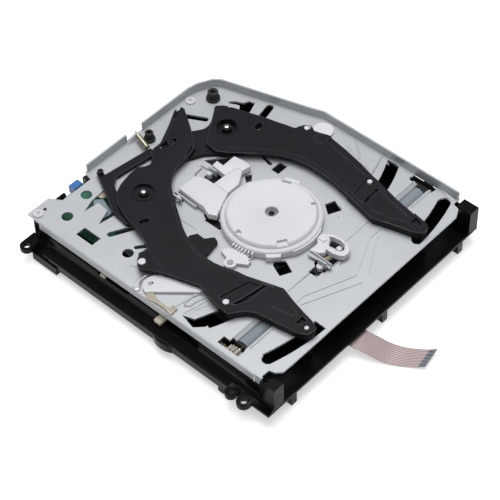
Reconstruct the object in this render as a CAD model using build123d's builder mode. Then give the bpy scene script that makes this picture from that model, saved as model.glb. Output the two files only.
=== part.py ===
from build123d import *
from math import atan2, cos, degrees, hypot, radians, sin, sqrt
import os

# Slot-loading optical drive of a game console, seen from above with its cover off.
# Millimetres. +Z is up, the disc slot faces -Y, the lowest foot is at z = 0.
# Plan positions are measured from the disc's centre line, which stands at x = disc_x.

# Disc and its place
disc_diameter = 120.0
disc_thickness = 1.2
disc_x = 2.5
disc_y = -13.0
disc_run_top = 12.6

# Top plate
plate_top = 22.0
sheet = 1.0
plate_left = -71.8
plate_right = 68.1
plate_front = -76.0
plate_back = 75.6
flange_down = 5.0
flange_up = 4.6
corner_cut = 17.0

# Base frame
wall = 1.5
wall_gap = 0.3
frame_bottom = 2.2
floor_top = 8.5
floor_thickness = 1.3
ledge_left = 5.6
ledge_front = 4.2
ledge_right = 2.4
rail_bottom = 4.2
ear_thickness = 2.4
ear_hole = 1.6
ear_radius = 3.4
slot_lip = 1.2
lower_setback = 9.5
post_width = 6.2

# Centring arms
pivot_spread = 28.8
pivot_y = 42.2
pivot_radius = 2.4
pivot_clearance = 0.05
arm_gap = 0.4
arm_bottom = plate_top + arm_gap
layer = 1.8
layer_gap = 0.2
arm_split = arm_bottom + layer
arm_upper = arm_split + layer_gap
arm_top = arm_upper + layer
front_reach = 113.0
front_angle = 264.2
mid_reach = 82.7
mid_angle = 257.5
arm_open = 11.1
arm_close = 1.8
feeler_radius = 2.1
feeler_bottom = 10.4
slot_clearance = 1.1
crank_x = -25.1
crank_y = 13.4
crank_radius = 1.6
crank_clearance = 0.35
skirt_back = -30.5

# Loading roller
roller_y = -51.0
roller_z = 16.9
shaft_radius = 1.5
roller_end_radius = 4.0
roller_mid_radius = 3.4
roller_half = 61.5
roller_split = 2.0
bearing_clearance = 0.05

# Gears
module = 0.6
roller_teeth = 14
drive_teeth = 20
pinion_teeth = 10
gear_width = 3.2
gear_backlash = 0.16
motor_shaft = 0.75
drive_z = 11.0
motor_z = 4.6

# Clamp
ring_radius = 24.0
ring_bore = 17.4
ring_teeth = 80
ring_height = 3.2
ring_lift = 0.3
ring_turn = 12.0
sector_teeth = 30
sector_side = 187.0
cover_radius = 21.4
cover_height = 3.0
puck_radius = 14.0
puck_flange = 16.4
puck_bottom = 14.4
puck_drop = 1.8

# Hinged clamp brackets
hinge_y = 28.1
hinge_z = 24.2
lever_y = -49.2
lever_z = 24.0
pin_radius = 1.0
ear_sheet = 0.8
rear_ears = (-20.3, 3.9)
front_ear = -6.2
bracket_gap = 0.5
ring_gap = 0.7

# Traverse deck
deck_half = 50.0
deck_front = -42.0
deck_back = 54.0
deck_bottom = 2.4
deck_thickness = 2.0
deck_clearance = 1.2
deck_hinge_y = 58.0
deck_hinge_z = 4.2
deck_lift = 1.7
trunnion_radius = 1.5
trunnion_length = 3.0
turntable_radius = 15.0
turntable_bottom = 6.8
turntable_top = 9.2
hub_radius = 7.2
hub_height = 1.6
motor_radius = 12.0
motor_bottom = 0.8
rod_radius = 1.5
rod_side = 21.0
rod_z = 6.3
rod_front = -0.5
rod_back = 51.5
sled_front = 3.0
sled_length = 18.0
sled_travel = 28.0
screw_side = 27.0
screw_radius = 1.2

# Cam slider
slider_travel = 12.0
slider_thickness = 1.3
slider_top = 19.4
slider_web = 4.6
slider_front = -23.0
slider_back = 46.0
cam_pin_y = 6.0
cam_pin_z = 3.9
cam_pin_radius = 1.2
cam_clearance = 0.35

# Circuit board
board_top = 10.4
board_thickness = 1.2
board_back = 79.6

# Ribbon cable
ribbon_width = 12.0
ribbon_thickness = 0.3
ribbon_x = -8.4
ribbon_turn = 24.0
ribbon_exit_z = 6.2
ribbon_inside = 38.0

plate_under = plate_top - sheet
bracket_bottom = plate_top + bracket_gap
bracket_top = bracket_bottom + 2.6
left_wall = plate_left + sheet + wall_gap
right_wall = plate_right - sheet - wall_gap
front_wall = plate_front
back_wall = plate_back - sheet - wall_gap
floor_under = floor_top - floor_thickness
inner_left = left_wall + wall
inner_right = right_wall - wall


ribbon_side = sin(radians(ribbon_turn)) / cos(radians(ribbon_turn))


def level(z):
    """Horizontal plane at height z, with its origin on the disc's centre line."""
    return Plane((disc_x, 0, z))


def across(x):
    """Plane square to X at x from the centre line: its own x runs along Y, its y along Z."""
    return Plane((disc_x + x, 0, 0), x_dir=(0, 1, 0), z_dir=(1, 0, 0))


def lengthwise(y):
    """Plane square to Y at y: its own x runs along X, its y along Z."""
    return Plane((disc_x, y, 0), x_dir=(1, 0, 0), z_dir=(0, -1, 0))


def polar(centre, radius, angle):
    """Point at a radius and an angle in degrees about a centre."""
    x = centre[0] + radius * cos(radians(angle))
    y = centre[1] + radius * sin(radians(angle))
    return (x, y)


def turned(point, centre, angle):
    """Point turned about a centre by an angle in degrees."""
    dx = point[0] - centre[0]
    dy = point[1] - centre[1]
    return polar(centre, hypot(dx, dy), degrees(atan2(dy, dx)) + angle)


def between(low, high, share):
    """Value at a share of the way from low to high."""
    return low + (high - low) * share


def arc_slot(centre, radius, start, end, width):
    """Adds a square-ended slot along an arc to the open sketch."""
    inner = radius - width / 2
    outer = radius + width / 2
    with BuildLine() as rim:
        CenterArc(centre, outer, start, end - start)
        Line(polar(centre, outer, end), polar(centre, inner, end))
        CenterArc(centre, inner, start, end - start)
        Line(polar(centre, inner, start), polar(centre, outer, start))
    make_face(rim.edges())


def towards(point, other, distance):
    """Point at a distance from one point towards another, at most 0.45 of the way."""
    run = hypot(other[0] - point[0], other[1] - point[1])
    share = min(0.45, distance / run)
    return (between(point[0], other[0], share), between(point[1], other[1], share))


def outline(points, rounding):
    """Adds a closed polygon with rounded corners to the open sketch."""
    count = len(points)
    with BuildLine() as rim:
        for number, corner in enumerate(points):
            before = towards(corner, points[number - 1], rounding)
            after = towards(corner, points[(number + 1) % count], rounding)
            chord = (between(before[0], after[0], 0.5), between(before[1], after[1], 0.5))
            crown = (between(chord[0], corner[0], 0.45), between(chord[1], corner[1], 0.45))
            ahead = points[(number + 1) % count]
            if hypot(crown[0] - chord[0], crown[1] - chord[1]) > 0.02:
                ThreePointArc(before, crown, after)
            else:
                Line(before, after)
            Line(after, towards(ahead, corner, rounding))
    make_face(rim.edges())


def groove(points, width):
    """Adds a narrow round-ended band along a line of points to the open sketch."""
    for first, second in zip(points, points[1:]):
        middle = (between(first[0], second[0], 0.5), between(first[1], second[1], 0.5), 0)
        lean = degrees(atan2(second[1] - first[1], second[0] - first[0]))
        with Locations(Location(middle, lean)):
            SlotCenterToCenter(hypot(second[0] - first[0], second[1] - first[1]), width)


def tooth_ring(centre, teeth, first, last, start, pitch):
    """Adds gear teeth number first to last round a centre to the open sketch."""
    depth = 2.05 * module
    root_width = pi_share(pitch, teeth) * 1.25 - gear_backlash
    for number in range(first, last + 1):
        angle = start + 360.0 * number / teeth
        with Locations(Location((*polar(centre, pitch - 0.175 * module, angle), 0), angle - 90)):
            Trapezoid(root_width, depth, 72)


def pi_share(pitch, teeth):
    """Half of a tooth's share of the pitch circle."""
    return 3.14159265 * pitch / teeth


def save(piece, name):
    """Labels a finished piece and writes its file."""
    piece.part.label = name
    export_step(piece.part, f"parts/{name}.step")


os.makedirs("parts", exist_ok=True)
left_pivot = (-pivot_spread, pivot_y)
right_pivot = (pivot_spread, pivot_y)

# Places of the gears, from the roller down to the motor
roller_pitch = module * roller_teeth / 2
drive_pitch = module * drive_teeth / 2
pinion_pitch = module * pinion_teeth / 2
drive_y = roller_y + sqrt((roller_pitch + drive_pitch) ** 2 - (roller_z - drive_z) ** 2)
motor_y = drive_y - sqrt((drive_pitch + pinion_pitch) ** 2 - (drive_z - motor_z) ** 2)
gear_plane = across(inner_left + 0.6)
roller_to_drive = degrees(atan2(drive_z - roller_z, drive_y - roller_y))
drive_to_motor = degrees(atan2(motor_z - drive_z, motor_y - drive_y))
drive_start = roller_to_drive + 180 + 180.0 / drive_teeth
near_tooth = round((drive_to_motor - drive_start) / (360.0 / drive_teeth))
drive_meets = drive_start + near_tooth * 360.0 / drive_teeth
pinion_lag = (drive_meets - drive_to_motor) * drive_teeth / pinion_teeth
pinion_start = drive_to_motor + 180 + 180.0 / pinion_teeth - pinion_lag
motor_face = inner_left + 0.6 + gear_width + 0.6
motor_end = motor_face + 13.0
can_radius = 3.6
cam_front = cam_pin_y - slider_travel - 7
cam_back = cam_pin_y + slider_travel + 7
board_tongue = (-49.5, -28.0)
screw_spots = ((-68.6, 72.4), (33.3, 71.0))

# Base frame: walls, bottom guide with the deck's window, ledges, ears and feet
ledge_x0 = plate_left - ledge_left
ledge_x1 = plate_right + ledge_right
ledge_y = plate_front - ledge_front
deck_x0 = -deck_half - deck_clearance
deck_x1 = deck_half + deck_clearance
gear_bay = inner_left + gear_width + 2.2
slider_slot = (-34.0, -8.0)
ear_x = plate_left - 7.1
ear_spots = [(ear_x, -67.0), (ear_x, 71.5)]
right_ear_x = 76.4 - disc_x
right_ears = [(right_ear_x, -46.0), (right_ear_x, 12.0)]
body_front = front_wall + 1.0
pad_y = -16.0

with BuildPart() as base_frame:
    with BuildSketch(level(floor_under)):
        with BuildLine():
            Polyline(
                (left_wall, body_front),
                (right_wall, body_front),
                (right_wall, 20),
                (right_wall - corner_cut, back_wall - 4),
                (right_wall - corner_cut - 5, back_wall),
                (left_wall, back_wall),
                close=True,
            )
        make_face()
    extrude(amount=plate_under - floor_under)
    # Disc tunnel above the floor, and the open well below it
    with BuildSketch(level(floor_top)):
        with BuildLine():
            Polyline(
                (inner_left, body_front + wall),
                (inner_right, body_front + wall),
                (inner_right, 20 - 0.4),
                (inner_right - corner_cut + 1, back_wall - 6),
                (inner_right - corner_cut - 5, back_wall - wall),
                (inner_left, back_wall - wall),
                close=True,
            )
        make_face()
    extrude(amount=plate_under - floor_top, mode=Mode.SUBTRACT)
    # Lower wall, set back under the ledge, with a notch for the ribbon
    with BuildSketch(level(frame_bottom)):
        with BuildLine():
            Polyline(
                (inner_left, ledge_y + lower_setback),
                (inner_right, ledge_y + lower_setback),
                (inner_right, 18.6),
                (inner_right - corner_cut + 1, back_wall - 6),
                (inner_right - corner_cut - 5, back_wall - wall),
                (inner_left, back_wall - wall),
                close=True,
            )
        make_face()
        offset(amount=-wall, mode=Mode.SUBTRACT)
        with Locations((ribbon_x - ribbon_side * lower_setback, ledge_y + lower_setback)):
            Rectangle(1.9 * ribbon_width, 8, mode=Mode.SUBTRACT)
    extrude(amount=floor_under - frame_bottom)
    # Ledge plate that runs past the walls at the left, front and right
    with BuildSketch(level(floor_under)):
        with BuildLine():
            Polyline(
                (ledge_x0, ledge_y),
                (ledge_x1 - 4, ledge_y),
                (ledge_x1, ledge_y + 5),
                (ledge_x1, 20),
                (right_wall - 1, 20),
                (right_wall - 1, front_wall + 12),
                (left_wall + 1, front_wall + 12),
                (left_wall + 1, back_wall - 12),
                (ledge_x0, back_wall - 16),
                close=True,
            )
        make_face()
    extrude(amount=floor_thickness)
    # Concave skirt from the left wall out to the ledge
    with BuildSketch(lengthwise(ledge_y)):
        with BuildLine():
            Line((left_wall + 0.5, floor_top - 0.5), (ledge_x0, floor_top - 0.5))
            Line((ledge_x0, floor_top - 0.5), (ledge_x0, floor_top))
            ThreePointArc(
                (ledge_x0, floor_top),
                (plate_left - 1.8, floor_top + 2.2),
                (plate_left, plate_top - flange_down - 1),
            )
            Line((plate_left, plate_top - flange_down - 1), (left_wall + 0.5, plate_top - flange_down - 1))
            Line((left_wall + 0.5, plate_top - flange_down - 1), (left_wall + 0.5, floor_top - 0.5))
        make_face()
    extrude(amount=-(back_wall - 12 - ledge_y))
    # Rail below the ledge, with the round foot pad
    with BuildSketch(level(rail_bottom)):
        with Locations((ledge_x0 + 1.2, between(-60, 52, 0.5))):
            Rectangle(2.4, 112)
        with Locations((ledge_x0 + 3.0, pad_y)):
            Ellipse(4.8, 8)
    extrude(amount=floor_top - rail_bottom)
    # Posts at the two front corners
    for side, face in ((1, plate_left), (-1, plate_right)):
        with BuildSketch(level(floor_under)):
            with Locations((face + side * post_width / 2 - side * 1.6, plate_front + 0.1)):
                Rectangle(post_width, 8.4)
        extrude(amount=plate_top - 0.2 - floor_under)
    # Disc slot through the front
    with BuildSketch(lengthwise(ledge_y - 1)):
        with BuildLine():
            Polyline(
                (plate_left + 7.6, floor_top),
                (plate_right - 7.6, floor_top),
                (plate_right - 5.6, plate_under - slot_lip),
                (plate_left + 5.6, plate_under - slot_lip),
                close=True,
            )
        make_face()
    extrude(amount=-10, mode=Mode.SUBTRACT)
    # Window for the traverse deck, room for the gears and for the slider's cam
    with BuildSketch(level(frame_bottom)):
        with Locations((between(deck_x0, deck_x1, 0.5), between(deck_front, deck_hinge_y, 0.5))):
            Rectangle(deck_x1 - deck_x0, deck_hinge_y - deck_front + 2 * deck_clearance)
        with Locations((between(inner_left, gear_bay, 0.5), roller_y + 3)):
            Rectangle(gear_bay - inner_left, 26)
        with Locations((between(inner_left, motor_end, 0.5), motor_y)):
            Rectangle(motor_end - inner_left, 2 * can_radius + 1.4)
        with Locations((inner_left + 2.2, between(cam_front, cam_back, 0.5))):
            Rectangle(4.4, cam_back - cam_front)
    extrude(amount=floor_top - frame_bottom, mode=Mode.SUBTRACT)
    # Slot in the left wall where the slider's tabs show
    with BuildSketch(across(plate_left - 3)):
        with Locations((between(slider_slot[0], slider_slot[1], 0.5), 14.2)):
            Rectangle(slider_slot[1] - slider_slot[0], 4.4)
        with Locations((20.5, 15.4)):
            Rectangle(20, 2.6)
    extrude(amount=6, mode=Mode.SUBTRACT)
    # Ears with their screw holes
    with BuildSketch(level(floor_under)):
        for spot in ear_spots + right_ears:
            with Locations(spot):
                Circle(ear_radius)
        for spot in ear_spots:
            with Locations((spot[0] + 4, spot[1])):
                Rectangle(8, 2 * ear_radius)
        for spot in right_ears:
            with Locations((spot[0] - 4, spot[1])):
                Rectangle(8, 2 * ear_radius)
        with Locations((ear_x, ear_spots[0][1] + 7.6)):
            Circle(2.9)
        with Locations((ear_x + 3.4, ear_spots[0][1] + 7.6)):
            Rectangle(6.8, 5.8)
    extrude(amount=ear_thickness)
    with BuildSketch(level(floor_under - 1)):
        for spot in ear_spots + right_ears:
            with Locations(spot):
                Circle(ear_hole)
        with Locations((ear_x, ear_spots[0][1] + 7.6)):
            Circle(1.1)
    extrude(amount=ear_thickness + 2, mode=Mode.SUBTRACT)
    # Feet under the ledge
    with BuildSketch(level(0)):
        for foot in ((-60, ledge_y + 2), (2.4, ledge_y + 2), (58, ledge_y + 2)):
            with Locations(foot):
                Rectangle(3.4, 3.0)
        with Locations((ledge_x0 + 2, -52), (right_wall - 1.2, 10)):
            Rectangle(3.0, 5.0)
        with Locations((-30, back_wall - 1), (20, back_wall - 1)):
            Rectangle(5.0, 2.4)
    extrude(amount=floor_under + 0.4)
    # Opening in the back wall for the circuit board
    with BuildSketch(level(floor_top)):
        with Locations((between(board_tongue[0], board_tongue[1], 0.5), back_wall - 1)):
            Rectangle(board_tongue[1] - board_tongue[0] + 2, 6)
    extrude(amount=plate_under - floor_top, mode=Mode.SUBTRACT)
    # Bosses under the plate's screws, the board's rests and the deck's trunnion bearings
    with BuildSketch(level(floor_top - 0.5)):
        with Locations(*screw_spots):
            Circle(2.8)
    extrude(amount=plate_under - floor_top + 0.5)
    with BuildSketch(level(floor_top - 0.5)):
        with Locations((-54.5, 44.0), (-54.5, 68.0), (16.0, 66.0)):
            Circle(2.2)
    extrude(amount=board_top - board_thickness - floor_top + 0.5)
    with BuildSketch(level(frame_bottom)):
        for side in (-1, 1):
            with Locations((side * (deck_half + deck_clearance + trunnion_length / 2), deck_hinge_y)):
                Rectangle(trunnion_length, 7)
    extrude(amount=floor_under - frame_bottom)
    with BuildSketch(across(-deck_half - deck_clearance - trunnion_length)):
        with Locations((deck_hinge_y, deck_hinge_z)):
            Circle(trunnion_radius + bearing_clearance)
    extrude(amount=2 * (deck_half + deck_clearance + trunnion_length), mode=Mode.SUBTRACT)
    with BuildSketch(across(inner_left - 1)):
        with Locations((roller_y, roller_z)):
            Circle(shaft_radius + bearing_clearance)
    extrude(amount=1, mode=Mode.SUBTRACT)
    with BuildSketch(level(plate_under - 8)):
        with Locations(*screw_spots):
            Circle(1.2)
    extrude(amount=8, mode=Mode.SUBTRACT)
save(base_frame, "base_frame")


# Top plate: bent sheet with slots, windows and flanges
front_slot = (front_angle + arm_close + 2.3, front_angle - arm_open - 1.5)
mid_slot = (mid_angle + arm_close + 2.0, mid_angle - arm_open - 2.2)
slot_width = 2 * (feeler_radius + slot_clearance)
crease_width = 0.7
crease_depth = 0.3
plate_creases = [
    [(-29.0, -47.4), (29.0, -47.4)],
    [(-29.0, -54.6), (-25.0, -54.6), (0.0, -64.6), (22.0, -54.6), (29.0, -54.6)],
    [(-29.6, -57.0), (-2.0, -69.0)],
    [(24.0, -57.0), (4.0, -68.4)],
    [(-68.0, 6.2), (-62.6, 3.6), (-58.0, -0.6)],
    [(-67.0, -15.6), (-58.6, -17.2), (-53.6, -20.0)],
    [(-67.0, -21.0), (-55.0, -24.0)],
    [(66.0, 2.0), (60.0, -8.0), (55.6, -20.0), (54.6, -26.0)],
    [(66.4, -24.4), (54.0, -29.0)],
    [(-63.0, 17.0), (-61.0, 9.0), (-68.4, 8.6)],
    [(-27.4, 33.0), (-27.4, 10.0)],
]
roller_windows = ((-66.6, -31.6, 8.6), (31.6, 66.2, 8.6))

with BuildPart() as top_plate:
    with BuildSketch(level(plate_under)):
        with BuildLine():
            Polyline(
                (plate_left, -70.6),
                (-66.2, -70.6),
                (-65.4, -73.6),
                (-62.4, plate_front + 0.2),
                (-56.0, plate_front),
                (58.0, plate_front),
                (62.6, -73.6),
                (63.6, -70.0),
                (plate_right, -70.0),
                (plate_right, 13.2),
                (65.8, 19.7),
                (51.9, 67.1),
                (49.1, 70.8),
                (41.7, 74.6),
                (36.0, plate_back),
                (-35.0, plate_back),
                (-36.5, 70.2),
                (-55.0, 70.4),
                (-58.5, 76.4),
                (plate_left, 76.4),
                close=True,
            )
        make_face()
    extrude(amount=sheet)
    # Left flange, bent down
    with BuildSketch(level(plate_top - flange_down)):
        with Locations((plate_left + sheet / 2, between(-71.4, 69.0, 0.5))):
            Rectangle(sheet, 69.0 + 71.4)
    extrude(amount=flange_down)
    # Back and right flanges, bent up as one curved strip, and the short one beside the hook
    with BuildSketch(level(plate_under)):
        with BuildLine() as rim:
            Polyline(
                (plate_right - sheet / 2, -69.5),
                (plate_right - sheet / 2, 13.2),
                (65.3, 19.6),
                (51.5, 66.8),
                (48.8, 70.2),
                (41.4, 74.0),
                (35.8, plate_back - sheet / 2),
                (3.8, plate_back - sheet / 2),
            )
            offset(amount=sheet / 2, side=Side.BOTH)
        make_face()
        with Locations((between(-34.0, -7.4, 0.5), plate_back - sheet / 2)):
            Rectangle(26.6, sheet)
    extrude(amount=sheet + flange_up)
    # Arc slots of the arms, mirrored about the centre line
    with BuildSketch(level(plate_under)):
        for reach, span in ((front_reach, front_slot), (mid_reach, mid_slot)):
            arc_slot(left_pivot, reach, span[1], span[0], slot_width)
            arc_slot(right_pivot, reach, 540 - span[0], 540 - span[1], slot_width)
        for x0, x1, depth in roller_windows:
            with Locations((between(x0, x1, 0.5), roller_y)):
                Rectangle(x1 - x0, depth)
        with Locations((-67.2, roller_y + 1.6)):
            Rectangle(4.4, 12.6)
        with Locations((65.4, roller_y)):
            Rectangle(3.4, 13.6)
        with Locations((0, disc_y)):
            Circle(puck_radius + 1.0)
        with Locations(Location((-50.6, 35.2, 0), -28)):
            SlotOverall(14.0, 3.0)
        with Locations(Location((51.6, 37.6, 0), 12)):
            SlotOverall(12.4, 4.0)
        with Locations((-60.7, 61.1), (-45.1, 64.3)):
            Circle(2.8)
        with Locations((-58.3, 23.4)):
            Circle(2.7)
        with Locations((-63.0, 44.6)):
            Rectangle(5.6, 10.6)
        with BuildLine():
            Polyline(
                (-53.2, 57.4), (-46.0, 59.8), (-35.6, 60.6), (-37.4, 46.0), (-44.2, 44.6),
                (-54.6, 46.4), (-45.6, 49.6), (-45.0, 56.4), close=True,
            )
        make_face()
        with Locations(Location((-51.8, 21.8, 0), -38)):
            SlotOverall(6.0, 2.2)
        with Locations(Location((26.5, 61.3, 0), -62)):
            SlotOverall(13.5, 3.0)
        with Locations(Location((28.2, 17.2, 0), 72)):
            SlotOverall(10.6, 1.3)
        with Locations((27.8, 7.2)):
            Rectangle(6.6, 4.6)
        with Locations((50.2, 48.4)):
            Rectangle(6.6, 6.6)
        with Locations(Location((-19.0, -38.4, 0), 62), Location((23.6, -30.6, 0), -64)):
            Rectangle(6.4, 6.6)
        with Locations((-18.4, 6.2)):
            Rectangle(3.8, 9.6)
        with Locations((-8.0, -49.0)):
            Rectangle(9.0, 5.0)
    extrude(amount=sheet, mode=Mode.SUBTRACT)
    # Pressed creases and ribs
    with BuildSketch(level(plate_top)):
        for points in plate_creases:
            groove(points, crease_width)
    extrude(amount=-crease_depth, mode=Mode.SUBTRACT)
    # Screw holes and the arms' pivot holes
    with BuildSketch(level(plate_under)):
        with Locations(*screw_spots):
            Circle(1.5)
        with Locations(left_pivot, right_pivot):
            Circle(1.55)
    extrude(amount=sheet, mode=Mode.SUBTRACT)
    # Ears bent up for the clamp's hinge pins
    with BuildSketch(level(plate_top)):
        for ear_at, ear_line in ((rear_ears[0], hinge_y), (rear_ears[1], hinge_y), (front_ear, lever_y)):
            with Locations((ear_at, ear_line)):
                Rectangle(ear_sheet, 5.0)
    extrude(amount=hinge_z + 1.8 - plate_top)
    for ear_at, ear_line, ear_height in (
        (rear_ears[0], hinge_y, hinge_z),
        (rear_ears[1], hinge_y, hinge_z),
        (front_ear, lever_y, lever_z),
    ):
        with BuildSketch(across(ear_at - 1)):
            with Locations((ear_line, ear_height)):
                Circle(pin_radius + bearing_clearance)
        extrude(amount=2, mode=Mode.SUBTRACT)
save(top_plate, "top_plate")


# Centring arms: the left one lies over the right one where they cross
crank_pin = (pivot_spread + crank_x, pivot_y + crank_y)
bead_width = 0.6
bead_depth = 0.4
step_depth = 0.6
pocket_depth = 1.3
counterbore = 5.0
counterbore_depth = 1.0
pivot_rim = 0.9
rim_height = 0.4
left_back = [
    (-57.7, -2.6), (-59.2, 1.4), (-63.7, 9.4), (-63.7, 10.9), (-60.2, 14.9), (-57.2, 15.7),
    (-52.2, 15.9), (-51.2, 18.4), (-48.7, 23.4), (-47.2, 29.4), (-45.7, 36.4), (-44.2, 40.4),
    (-41.7, 46.4), (-37.2, 51.4), (-32.2, 53.7), (-25.2, 55.2), (-19.2, 55.7), (-16.7, 53.4),
    (-13.7, 52.4), (-10.2, 53.9), (-8.2, 57.4), (-5.2, 58.7), (-0.2, 58.7), (10.8, 63.9),
    (20.3, 69.2), (23.8, 68.9), (24.6, 66.9), (21.8, 62.9), (17.3, 55.9), (11.8, 48.4),
    (8.8, 44.4), (3.8, 42.9), (-1.2, 42.4), (-7.2, 41.7), (-12.2, 39.4), (-17.7, 34.9),
    (-22.2, 28.9), (-28.2, 19.9), (-33.2, 12.4), (-35.7, 7.4), (-38.2, 1.4), (-39.5, -6.6),
    (-39.4, -12.6), (-38.2, -18.6), (-36.2, -24.6), (-35.5, -29.6),
]
left_tip = [
    (-34.2, -33.6), (-31.7, -41.6), (-30.0, -47.1), (-32.7, -55.6), (-34.7, -63.6), (-35.7, -68.6),
    (-37.7, -73.1), (-42.5, -72.6), (-44.9, -69.0), (-45.7, -62.6), (-46.7, -57.6), (-47.7, -50.6),
    (-48.2, -47.6), (-50.2, -43.6), (-54.2, -40.1), (-57.2, -38.1), (-56.7, -31.6),
]
left_hollow_front = [
    (-46.0, -50.0), (-45.0, -58.0), (-36.4, -62.0),
    (-33.8, -52.0), (-33.0, -47.0), (-34.4, -43.0),
]
left_hollow_back = [
    (-53.6, -37.8), (-53.6, -33.6), (-36.2, -35.0),
    (-35.0, -41.4), (-46.6, -47.0), (-49.0, -42.0),
]
left_waist = [(-55.7, -26.6), (-54.2, -22.6), (-53.2, -17.6), (-54.7, -12.6)]
left_hook = [
    (-33.5, 8.1), (-30.0, 6.1), (-30.3, 1.6), (-26.5, -1.4), (-27.5, -4.4), (-36.0, -5.9),
    (-41.0, -5.0), (-40.0, 6.0),
]
left_lines = [
    [
        (-19.0, 35.5), (-23.4, 29.4), (-29.4, 20.4), (-34.4, 12.9), (-37.0, 7.6), (-39.5, 1.6),
        (-40.8, -6.6), (-40.7, -12.8), (-39.5, -18.9), (-37.5, -24.9), (-36.8, -29.8),
    ],
    [(-52.7, 15.0), (-56.7, 3.4)],
    [(-41.4, -50.6), (-39.2, -60.6), (-37.2, -61.8), (-35.2, -57.1)],
    [(1.0, 58.0), (10.8, 62.6), (18.3, 66.9)],
    [(-32.4, -43.0), (-34.2, -38.0)],
]
left_step = [(-52.6, -28.4), (-36.8, -32.2), (-35.0, -38.4), (-46.8, -36.6), (-53.6, -34.4)]
left_pockets = [
    [(-52.4, -35.4), (-46.4, -37.0), (-33.8, -38.8), (-33.4, -40.8), (-46.6, -40.0), (-51.0, -37.4)],
    [(-41.7, -63.8), (-36.4, -63.8), (-37.0, -67.4), (-40.6, -66.8)],
    [(-0.2, 43.2), (9.8, 47.2), (6.4, 43.9)],
]

with BuildPart() as left_arm:
    with BuildSketch(level(arm_upper)):
        outline(left_back + left_tip + left_waist, 0.8)
    extrude(amount=layer)
    # Skirt below the front half, and the hook that trips the switch lever
    with BuildSketch(level(arm_bottom)):
        outline(left_tip, 0.5)
        for spots in (left_hollow_front, left_hollow_back):
            with BuildLine():
                Polyline(*spots, close=True)
            make_face(mode=Mode.SUBTRACT)
        with Locations(polar(left_pivot, front_reach, front_angle), polar(left_pivot, mid_reach, mid_angle)):
            Circle(feeler_radius + 1.2)
    extrude(amount=arm_upper - arm_bottom)
    with BuildSketch(level(arm_bottom + layer_gap)):
        outline(left_hook, 0.4)
    extrude(amount=arm_upper - arm_bottom - layer_gap)
    with BuildSketch(level(arm_top)):
        with Locations(left_pivot):
            Circle(counterbore + pivot_rim)
    extrude(amount=rim_height)
    with BuildSketch(level(arm_top + rim_height)):
        with Locations(left_pivot):
            Circle(counterbore)
    extrude(amount=-rim_height - counterbore_depth, mode=Mode.SUBTRACT)
    with BuildSketch(level(arm_upper)):
        with Locations(left_pivot):
            Circle(pivot_radius + pivot_clearance)
        # Cam slot that the crank pin of the other arm runs in
        for step in range(6):
            spread = between(-arm_close - 1, arm_open + 1, step / 6)
            ahead = between(-arm_close - 1, arm_open + 1, (step + 1) / 6)
            start = turned(turned(crank_pin, right_pivot, spread), left_pivot, spread)
            end = turned(turned(crank_pin, right_pivot, ahead), left_pivot, ahead)
            middle = (between(start[0], end[0], 0.5), between(start[1], end[1], 0.5))
            lean = degrees(atan2(end[1] - start[1], end[0] - start[0]))
            run = hypot(end[0] - start[0], end[1] - start[1])
            with Locations(Location((middle[0], middle[1], 0), lean)):
                SlotCenterToCenter(run, 2 * (crank_radius + crank_clearance))
        with Locations(Location((-60.2, 12.2, 0), 40)):
            Ellipse(2.5, 1.9)
        with Locations(Location((-41.7, 28.9, 0), -28)):
            SlotOverall(5.6, 3.0)
        with Locations(polar(left_pivot, front_reach - 0.4, front_angle)):
            Rectangle(1.8, 2.2)
        with Locations(Location((-52.4, -33.2, 0), -15)):
            Rectangle(1.8, 2.4)
    extrude(amount=layer, mode=Mode.SUBTRACT)
    with BuildSketch(level(arm_top)):
        for points in left_lines:
            groove(points, bead_width)
    extrude(amount=-bead_depth, mode=Mode.SUBTRACT)
    with BuildSketch(level(arm_top)):
        outline(left_step, 0.3)
    extrude(amount=-step_depth, mode=Mode.SUBTRACT)
    with BuildSketch(level(arm_top)):
        for points in left_pockets:
            outline(points, 0.3)
        with Locations(Location((20.2, 66.6, 0), 28)):
            SlotOverall(8.2, 3.2)
    extrude(amount=-pocket_depth, mode=Mode.SUBTRACT)
save(left_arm, "left_arm")

right_low = [
    (15.8, 55.4), (17.8, 53.9), (21.8, 51.2), (24.8, 50.9), (30.8, 52.9), (35.8, 56.4), (38.8, 53.4),
    (40.8, 48.4), (42.8, 41.4), (45.3, 34.4), (46.5, 29.6), (16.8, 29.6), (13.3, 35.4), (9.4, 39.4),
    (1.0, 43.6), (-2.2, 49.0), (-1.0, 58.0), (8.0, 59.4),
]
right_back = [
    (14.3, 42.4), (27.8, 50.9), (30.8, 52.9), (35.8, 56.4), (38.8, 53.4), (40.8, 48.4), (42.8, 41.4),
    (45.3, 34.4), (46.8, 27.4), (48.8, 20.4), (49.8, 16.4), (51.8, 15.9), (54.8, 13.9), (55.8, 10.9),
    (54.3, 8.4), (54.8, 6.4), (56.3, 2.4), (56.8, -0.1), (55.3, -10.6), (52.8, -22.6), (50.9, -29.6),
]
right_tip = [
    (50.3, -31.6), (49.6, -35.6), (48.3, -40.6), (45.8, -50.6), (43.8, -62.6), (42.6, -69.6),
    (40.8, -72.6), (37.8, -73.1), (34.8, -70.1), (33.8, -66.6), (32.3, -60.6), (30.8, -55.6),
    (28.8, -49.1), (30.8, -40.6), (32.8, -30.6),
]
right_hollow_front = [
    (44.0, -50.0), (42.2, -60.0), (36.4, -62.0),
    (33.0, -54.0), (31.4, -49.0), (32.6, -43.6),
]
right_hollow_back = [
    (47.6, -36.0), (48.0, -32.6), (34.6, -32.6),
    (33.4, -41.4), (44.8, -47.0), (46.4, -40.0),
]
right_waist = [
    (34.8, -20.6), (35.3, -12.6), (35.3, -4.6), (33.8, 3.4), (30.8, 10.4), (26.3, 17.4), (20.8, 24.4),
    (16.8, 29.4), (13.3, 35.4),
]
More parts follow.
